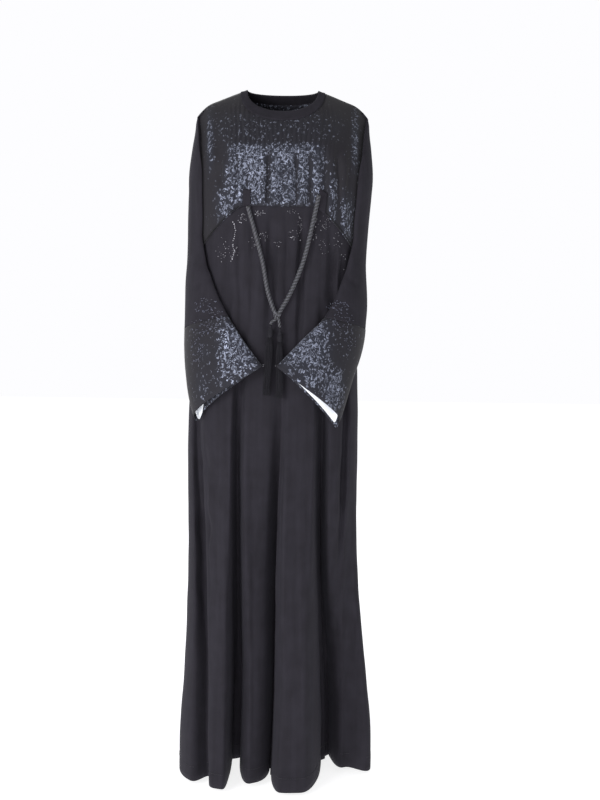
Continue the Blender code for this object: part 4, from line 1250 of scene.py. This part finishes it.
LIP_STEPS = (0.0, 0.11, 0.22, 0.33, 0.44, 0.55, 0.66, 0.83)
OUTER_STEPS = 64
LOOP_POWER = 0.8
FACING_TRIM = 56.0
FACING_SHORT = 0.04
FACING_IN = 0.0024
TONGUE_START, TONGUE_RUN = 2.4, 0.7
RISE_END, RISE_RUN = 0.80, 0.12
Tongue = namedtuple("Tongue", "reach power")
LEFT_TONGUE = Tongue(0.07, 6.0)
RIGHT_TONGUE = Tongue(0.15, 1.3)
NO_TONGUE = Tongue(0.0, 1.0)
Facing = namedtuple("Facing", "tongue rise")
LEFT_FACING = Facing(Tongue(0.15, 6.0), 0.12)
RIGHT_FACING = Facing(Tongue(0.15, 1.35), 0.0)


@lru_cache(maxsize=None)
def section_at(sections, station):
    """Sizes between two sleeve sections, carried on past the last one."""
    stations = np.arange(len(sections), dtype=float)
    values = []
    for column in list(zip(*sections))[1:]:
        column = np.array(column)
        if station > stations[-1]:
            values.append(column[-1] + (column[-1] - column[-2]) * (station - stations[-1]))
        else:
            values.append(float(through(stations, column, station)))
    return Section(sections[min(int(station), len(sections) - 2)].name, *values)


def layer_point(side, now, across, lift, inset=0.0):
    """A point of a sleeve section, across from its front fold; lift is 0 inside and 1 outside."""
    across = mix(across, 0.5, inset * FACING_TRIM)
    room = mix(now.front_room, now.back_room, across) + inset + (now.open - 2 * inset) * lift
    turn = mix(now.front_turn, now.back_turn, across)
    return form_point(side * turn, mix(now.front_z, now.back_z, across), room)


def armhole_edge(side, z, back):
    """Where the sleeve meets the edge of the armhole."""
    out = LAP * 2
    x = level(round(z, 5)).centre + side * (armhole_half(z, back, out, out) - SEAM_LAP)
    return np.array([x, body_y(x, z, back, out), z])


def armhole_row(side, sections, z):
    """A row level with the armhole, from its front edge round the outside to its back edge."""
    heights = [row.front_z for row in sections[2::-1]]
    now = section_at(sections, float(np.interp(z, heights, (2.0, 1.0, 0.0))))
    front, back = armhole_edge(side, z, False), armhole_edge(side, z, True)
    front_turn = turn_at_depth(front[1], z, False) - LIP_TURN
    back_turn = 2 - turn_at_depth(back[1], z, True) + LIP_TURN
    now = now._replace(front_z=z, back_z=z, front_turn=min(now.front_turn, front_turn),
                       back_turn=max(now.back_turn, back_turn))
    share = smooth((ARMHOLE_TOP - z) / SHOULDER_EASE)
    low_down = smooth((ARMHOLE_TOP - z) / LIP_START)
    lip = mix(TOP_LIP, SHOULDER_LIP, low_down) * (side, 1, 1)
    front_fold, back_fold = front + lip * (1, -1, 1), back + lip
    outer = []
    for i in range(OUTER_STEPS + 1):
        angle = math.pi * i / OUTER_STEPS
        across, lift = (1 - math.cos(angle)) / 2, math.sin(angle) ** LOOP_POWER
        bulge = side * lift * float(np.interp(z, BULGE_HEIGHTS, BULGES))
        near = mix(front_fold, back_fold, i / OUTER_STEPS) + np.array([bulge, 0, 0])
        outer.append(mix(near, layer_point(side, now, across, lift), share))
    lips = []
    for edge, fold, turn, end_turn in ((front, front_fold, front_turn + LIP_TURN, now.front_turn),
                                       (back, back_fold, back_turn - LIP_TURN, now.back_turn)):
        flat = [mix(edge, fold, step * low_down) for step in LIP_STEPS]
        round_body = [form_point(side * mix(turn, end_turn, step), z, mix(2 * LAP, now.back_room, step))
                      for step in LIP_STEPS]
        lips.append([edge, *(mix(a, b, share) for a, b in zip(flat[1:], round_body[1:]))])
    return [*lips[0], *outer, *lips[1][::-1]]


def cap_row(side, row):
    """The sleeve head's edge, laid over the end of the shoulder: a row moved in on to the bodice."""
    centre = level(ARMHOLE_TOP).centre
    laid = []
    for x, y, z in row:
        x_in = x - side * CAP_LAP
        low, high = z - CAP_DEPTH, shoulder(x_in - centre) + 2 * LAP
        for _ in range(CAP_HALVINGS):
            middle = (low + high) / 2
            if abs(body_y(x_in, middle, y > 0, 2 * LAP)) > abs(y):
                low = middle
            else:
                high = middle
        laid.append(np.array([x_in, y, high]))
    return laid


def sleeve_row(side, sections, station, tongue=NO_TONGUE, inset=0.0, rise=0.0):
    """A closed row of the sleeve, from the inner layer's middle round and back to it."""
    inner = [step / 2 for step in LIP_STEPS]
    outer = [math.pi * i / OUTER_STEPS for i in range(OUTER_STEPS + 1)]
    places = [(0.5 - step, 0.0, 1.0) for step in inner]
    places += [((1 - math.cos(angle)) / 2, math.sin(angle) ** LOOP_POWER,
                smooth((angle - TONGUE_START) / TONGUE_RUN)) for angle in outer]
    places += [(0.5 + step, 0.0, 1.0) for step in inner[::-1]]
    row = []
    for across, lift, under in places:
        extra = tongue.reach * across ** tongue.power * under
        extra -= rise * (1 - smooth((across - RISE_END) / RISE_RUN))
        row.append(layer_point(side, section_at(sections, round(station + extra, 4)), across, lift, inset))
    return row


print("points round a sleeve:", OUTER_STEPS + 1 + 2 * len(LIP_STEPS))

# %% Sew the sleeves
ARM_ROWS, SLEEVE_ROWS, BAND_ROWS, FACING_ROWS = 30, 44, 32, 8
ARM_SHARES, ARM_HEIGHTS = (0, 0.25, 1), (-0.052, -0.085, -0.328)
SLEEVE_START, BAND_START, BAND_END, FACING_START = 2.06, 5.0, 7.0, 6.6
BAND_GAP = 0.010
FACING_WALL = 0.0008
LEFT_SLEEVE_CREASES = (
    Crease([(-0.150, -0.300), (-0.165, -0.330), (-0.182, -0.350)], 0.0026, 0.007),
    Crease([(-0.128, -0.345), (-0.150, -0.372), (-0.172, -0.388)], 0.0022, 0.007),
    Crease([(-0.172, -0.150), (-0.170, -0.22), (-0.160, -0.29)], 0.0020, 0.008),
    Crease([(-0.118, -0.395), (-0.140, -0.415), (-0.160, -0.428)], 0.0018, 0.006),
)
RIGHT_SLEEVE_CREASES = (
    Crease([(0.140, -0.300), (0.156, -0.332), (0.168, -0.350)], 0.0026, 0.007),
    Crease([(0.120, -0.345), (0.140, -0.368), (0.158, -0.380)], 0.0022, 0.007),
    Crease([(0.164, -0.150), (0.162, -0.22), (0.152, -0.29)], 0.0020, 0.008),
    Crease([(0.105, -0.398), (0.125, -0.414), (0.146, -0.424)], 0.0018, 0.006),
)
LEFT_CUFF_CREASES = (
    Crease([(-0.130, -0.470), (-0.128, -0.52), (-0.132, -0.58)], 0.0016, 0.010),
    Crease([(-0.085, -0.460), (-0.090, -0.50), (-0.098, -0.55)], 0.0012, 0.008),
)
RIGHT_CUFF_CREASES = (
    Crease([(0.118, -0.455), (0.112, -0.50), (0.106, -0.56)], 0.0016, 0.010),
    Crease([(0.075, -0.470), (0.066, -0.50), (0.056, -0.53)], 0.0012, 0.008),
)


def sheet_of_rows(rows, side):
    """A grid put in place by rows of points."""
    rows = rows if side > 0 else [row[::-1] for row in rows]
    across, down = len(rows[0]) - 1, len(rows) - 1
    return cloth_grid(lambda i, j: rows[j][i], across, down)


def sleeve(hand, side, sections, tongue, creases, cuff_creases, patches, facing):
    """A sleeve, its foil cuff and the white facing inside the cuff."""
    heights = np.interp(np.linspace(0, 1, ARM_ROWS), ARM_SHARES, ARM_HEIGHTS)
    rows = [armhole_row(side, sections, z) for z in heights]
    rows.insert(0, cap_row(side, rows[0]))
    rows += [sleeve_row(side, sections, round(station, 4))
             for station in np.linspace(SLEEVE_START, BAND_START - BAND_GAP, SLEEVE_ROWS)]
    bm = sheet_of_rows(rows, side)
    press(bm, creases, crumple=0.0006, scale=0.05)
    arm = panel(f"sleeve_{hand}_cloth", bm, crepe, f"sleeve_{hand}")

    def band(start, end, count, inset, tongue, rise=0.0):
        rows = []
        for step in np.linspace(0, 1, count):
            reach = Tongue(tongue.reach * step ** 3, tongue.power)
            rows.append(sleeve_row(side, sections, round(mix(start, end, step), 4), reach, inset,
                                   rise * step))
        return sheet_of_rows(rows, side)

    bm = band(BAND_START, BAND_END, BAND_ROWS, 0.0, tongue)
    press(bm, cuff_creases, crumple=0.0003, scale=0.04)
    paint_foil_glint_and_shade(bm, patches, base=0.10, behind=0.55)
    cuff = panel(f"cuff_{hand}_band", bm, foil, f"cuff_{hand}")
    bm = band(FACING_START, BAND_END - FACING_SHORT, FACING_ROWS, FACING_IN, facing.tongue, facing.rise)
    strip = panel(f"cuff_facing_{hand}_strip", bm, satin, f"cuff_facing_{hand}",
                  FACING_WALL)
    return arm, cuff, strip


arm_left, cuff_left, facing_left = sleeve("left", -1, LEFT_SECTIONS, LEFT_TONGUE, LEFT_SLEEVE_CREASES,
                                          LEFT_CUFF_CREASES, LEFT_CUFF_GLINT, LEFT_FACING)
arm_right, cuff_right, facing_right = sleeve("right", 1, RIGHT_SECTIONS, RIGHT_TONGUE, RIGHT_SLEEVE_CREASES,
                                             RIGHT_CUFF_CREASES, RIGHT_CUFF_GLINT, RIGHT_FACING)

# %% [markdown]
# ## Stones, beads and stitches
#
# Stones and beads are sewn on by hand where the light should catch. They are small and many, so
# each has only a few faces, and all those on one panel are one piece. They are scattered in the
# ovals where the photograph shows them. A ray from the camera through its place there finds where
# each one meets the cloth, and it turns to lie flat.

# %% Set small things on the cloth
TABLE, CROWN = 0.27, 0.32
BUGLE_RADIUS = 0.0006
verts, faces = [], []
for piece in (skirt_front, bodice_front, arm_left, arm_right, cuff_left, cuff_right):
    start = len(verts)
    verts += [vert.co.copy() for vert in piece.data.vertices]
    faces += [[start + i for i in polygon.vertices] for polygon in piece.data.polygons]
front_cloth = BVHTree.FromPolygons(verts, faces)


def on_cloth(across, down):
    """Where a line of sight meets the cloth: the place, and the way the cloth faces there."""
    at, normal, _, _ = front_cloth.ray_cast(CAMERA_AT, sight(across, down))
    if at is None:
        return None
    return at, normal if normal.y < 0 else -normal


def seat_of(at, normal, spin, lift):
    """A turn and a shift that lay a small shape on the cloth."""
    turn = Vector((0, 0, 1)).rotation_difference(normal).to_matrix().to_4x4()
    return Matrix.Translation(at + normal * lift) @ turn @ Matrix.Rotation(spin, 4, "Z")


def add_stone(bm, at, normal, size, spin):
    """A cut stone: a flat table, eight sloping faces and a flat back."""
    seat = seat_of(at, normal, spin, CLOTH / 2 + size * CROWN / 2)
    bmesh.ops.create_cone(bm, cap_ends=True, segments=8, radius1=size / 2, radius2=size * TABLE,
                          depth=size * CROWN, matrix=seat)


def add_bugle(bm, at, normal, size, spin):
    """A short glass tube that lies on the cloth."""
    seat = seat_of(at, normal, spin, CLOTH / 2 + BUGLE_RADIUS) @ Matrix.Rotation(math.pi / 2, 4, "Y")
    bmesh.ops.create_cone(bm, cap_ends=True, segments=6, radius1=BUGLE_RADIUS, radius2=BUGLE_RADIUS,
                          depth=size, matrix=seat)


print("faces to sew on:", len(faces))

# %% Stones below the waist seam
Cluster = namedtuple("Cluster", "across down half_across half_down count")
STONE = 0.0023
STONE_LINE = ((233.0, 222), (235.2, 227), (235.6, 233), (233.4, 239), (232.6, 245), (234.6, 250),
              (233.4, 256), (230.6, 261))
LINE_STONES, LINE_JITTER = 20, 0.5
STONE_CLUSTERS = (
    Cluster(242, 217, 5, 6, 17),
    Cluster(222, 250, 8, 13, 20),
    Cluster(234, 252, 5, 8, 15),
    Cluster(260, 213, 6, 3, 20),
    Cluster(264, 237, 5, 5, 15),
    Cluster(253, 243, 5, 6, 12),
    Cluster(278, 243, 4, 5, 7),
    Cluster(291, 212, 5, 3, 10),
    Cluster(293, 235, 5, 5, 14),
    Cluster(299, 227, 3, 15, 24),
    Cluster(314, 238, 3, 8, 10),
    Cluster(322, 223, 8, 9, 31),
    Cluster(324, 247, 6, 8, 17),
    Cluster(338, 240, 5, 9, 14),
    Cluster(343, 262, 4, 9, 7),
)
chance = random.Random(11)


def scattered(clusters):
    """Random places in the clusters' ovals."""
    for cluster in clusters:
        for _ in range(cluster.count):
            angle, ring = chance.uniform(0, 2 * math.pi), math.sqrt(chance.random())
            yield (cluster.across + cluster.half_across * ring * math.cos(angle),
                   cluster.down + cluster.half_down * ring * math.sin(angle))


def sewn(name, bm, material, count):
    """Finish a piece made of many small hard things."""
    bmesh.ops.recalc_face_normals(bm, faces=bm.faces)
    print(name, "has", count)
    return finished(name, bm, material, smooth_shaded=False)


line_across, line_down = np.array(STONE_LINE).T
places = [(np.interp(down, line_down, line_across) + chance.uniform(-LINE_JITTER, LINE_JITTER), down,
           chance.uniform(0.9, 1.4)) for down in np.linspace(line_down[0], line_down[-1], LINE_STONES)]
places += [(*oval_spot, chance.uniform(0.55, 1.0)) for oval_spot in scattered(STONE_CLUSTERS)]
bm = bmesh.new()
count = 0
for across, down, size in places:
    found = on_cloth(across, down)
    if found:
        add_stone(bm, *found, STONE * size, chance.uniform(0, 1))
        count += 1
stones = sewn("waist_stones", bm, stone, count)

# %% Bugle beads above the cuffs
BUGLE = 0.0038
BUGLE_CLUSTERS = (
    Cluster(206, 306, 12, 8, 40),
    Cluster(203, 326, 12, 11, 52),
    Cluster(197, 350, 7, 14, 34),
    Cluster(216, 318, 9, 8, 22),
    Cluster(338, 306, 12, 5, 40),
    Cluster(342, 320, 12, 8, 40),
    Cluster(350, 338, 7, 12, 26),
)
bm = bmesh.new()
count = 0
for across, down in scattered(BUGLE_CLUSTERS):
    found = on_cloth(across, down)
    if found:
        add_bugle(bm, *found, BUGLE * chance.uniform(0.6, 1.0), chance.uniform(-0.9, 0.9))
        count += 1
bugles = sewn("sleeve_bugle_beads", bm, lustre, count)

# %% Beaded edge of the waist seam
SEED, SEED_SPACING, SEED_SUNK = 0.0029, 1.05, 0.3
SEAM_REACH, SEAM_TRIES, SEAM_BARE = 0.985, 1400, 0.014
bm = bmesh.new()
beads = []
for across in (mix(-SEAM_REACH, SEAM_REACH, i / (SEAM_TRIES - 1)) for i in range(SEAM_TRIES)):
    point = Vector(bodice_point(across, SEAM_REACH, False)) + Vector((0, -CLOTH / 2 - SEED * SEED_SUNK, 0))
    bare = abs(waist_centre + across * waist_half) < WAIST_FLAT + SEAM_BARE
    if not bare and (not beads or (point - beads[-1]).length >= SEED * SEED_SPACING):
        bmesh.ops.create_icosphere(bm, subdivisions=1, radius=SEED / 2, matrix=Matrix.Translation(point))
        beads.append(point)
seam_beads = sewn("waist_seam_beads", bm, jet, len(beads))

# %% [markdown]
# The hem is turned up twice and stitched 30 mm above the edge. Each stitch is a short piece of
# thread that lies along the line. The thread between the cuff tips only holds the sleeves in place
# for the picture, but it is on the garment, so it is made too.

# %% Hem stitches and the thread between the cuffs
STITCH, STITCH_GAP, STITCH_START = 0.0032, 0.0014, 0.002
STITCH_THREAD, STITCH_LIFT, CUFF_THREAD = 0.0003, 0.0002, 0.0006
STITCH_COLUMNS, THREAD_POINTS = 2400, 9
TIP_PIXELS = ((262.5, 364.5), (277.5, 365.0))
THREAD_OUT, THREAD_SAG = 0.001, 0.0015
THREAD_APART, THREAD_CLOSER = 0.003, 0.6


def stitch_row(folds, back):
    """Lines of thread along the turned hem."""
    out = HEM_THICK + CLOTH / 2 + STITCH_LIFT
    row = np.array([skirt_point(turn, HEM + HEM_TURNING, folds, back, out)
                    for turn in skirt_columns(STITCH_COLUMNS, folds, back)])
    run = run_along(row)
    lines = []
    start = STITCH_START
    while start + STITCH < run[-1]:
        lines.append([at_run(row, run, start + part * STITCH) for part in (0.0, 0.5, 1.0)])
        start += STITCH + STITCH_GAP
    return lines


hem_lines = stitch_row(FRONT_FOLDS, False) + stitch_row(BACK_FOLDS, True)
hem_stitches = finished_mesh("hem_stitches", tubes("hem_stitches", hem_lines, STITCH_THREAD, sides=4),
                             black_thread)

left_tip, right_tip = (Vector(on_cloth(*pixel)[0]) for pixel in TIP_PIXELS)
thread_lines = []
for low in (0.0, THREAD_APART):
    a = left_tip + Vector((0, -THREAD_OUT, -low))
    b = right_tip + Vector((0, -THREAD_OUT, -low * THREAD_CLOSER))
    thread_lines.append([tuple(a.lerp(b, t) + Vector((0, 0, -THREAD_SAG * math.sin(math.pi * t))))
                         for t in np.linspace(0, 1, THREAD_POINTS)])
finished_mesh("cuff_thread", tubes("cuff_thread", thread_lines, CUFF_THREAD), sewing_thread)
print("stitches:", len(hem_lines))

# %% [markdown]
#
# Each panel's area is printed with the share that it fills of the rectangle it was cut from. A
# gathered panel is cut much wider than the seam it is eased into, so its flat size is read from its
# hem and its length.

# %% Sheets


def cut_from(piece, flat):
    """Print a piece of cloth's area and the share that it fills of the rectangle that it is cut from."""
    area = cloth_area(piece)
    print(f"{piece.name}: {area:.5f} square metres, {area / flat[0] / flat[1]:.2f} of its rectangle")


cut_from(skirt_front, (1.14, 1.18))
cut_from(skirt_back, (1.01, 1.10))
cut_from(bodice_front, (0.42, 0.34))
cut_from(bodice_back, (0.44, 0.35))
cut_from(arm_left, (0.42, 0.50))
cut_from(arm_right, (0.39, 0.50))
cut_from(cuff_left, (0.40, 0.20))
cut_from(cuff_right, (0.38, 0.22))
cut_from(facing_left, (0.36, 0.05))
cut_from(facing_right, (0.33, 0.05))
cut_from(neck_binding, (0.55, 0.026))
for piece in tabs:
    cut_from(piece, (0.019, 0.038))

# %% [markdown]
# ## Floor and light
#
# Black cloth needs broad, soft light, or its folds vanish. The main light is large and stands in
# front on the left, so the right sides of the folds fall into shade. A weaker one beside the camera
# opens the valleys, and one behind gives the back its form. The paper floor glows a little, as it
# would on a light table, and the sky is full white to the camera but weaker to the cloth.

# %% Floor, lights and surroundings
FLOOR, FLOOR_HALF = -1.405, 6.0
SKY_ON_CLOTH = 0.40
bm = bmesh.new()
bmesh.ops.create_grid(bm, x_segments=2, y_segments=2, size=FLOOR_HALF)
bmesh.ops.translate(bm, verts=bm.verts, vec=(0, 0, FLOOR))
floor_mesh = bpy.data.meshes.new("floor")
bm.to_mesh(floor_mesh)
bm.free()
paper, _, _ = new_material("white_paper_floor", "#c9c9cc", 0.95, Emission_Strength=0.80,
                           Emission_Color="#ffffff")
floor_mesh.materials.append(paper)
floor = bpy.data.objects.new("floor", floor_mesh)
scene.collection.objects.link(floor)


def soft_light(name, at, aim, size, power):
    """A square light at a place, turned to a point."""
    data = bpy.data.lights.new(name, "AREA")
    data.shape = "SQUARE"
    data.size = size
    data.energy = power
    data.color = seen("#ffffff")[:3]
    lamp = bpy.data.objects.new(name, data)
    scene.collection.objects.link(lamp)
    lamp.location = at
    lamp.rotation_euler = (Vector(aim) - Vector(at)).to_track_quat("-Z", "Y").to_euler()


soft_light("key_light", (-1.9, -2.9, 0.1), (0, 0, -0.8), 1.3, 67)
soft_light("front_fill", (-0.3, -3.5, -0.6), (0, 0, -0.8), 1.0, 34)
soft_light("back_light", (-0.6, 2.8, 0.9), (0, 0, -0.6), 1.8, 40)

world = bpy.data.worlds.new("white_room")
world.use_nodes = True
tree = world.node_tree
seen_ray = node(tree, "LightPath").outputs["Is Camera Ray"]
power = node(tree, "MapRange", {"Value": seen_ray, "To Min": SKY_ON_CLOTH, "To Max": 1.0})
feed(tree.nodes["Background"], {"Color": "#fdfdff", "Strength": power})
scene.world = world
scene.view_settings.view_transform = "Standard"
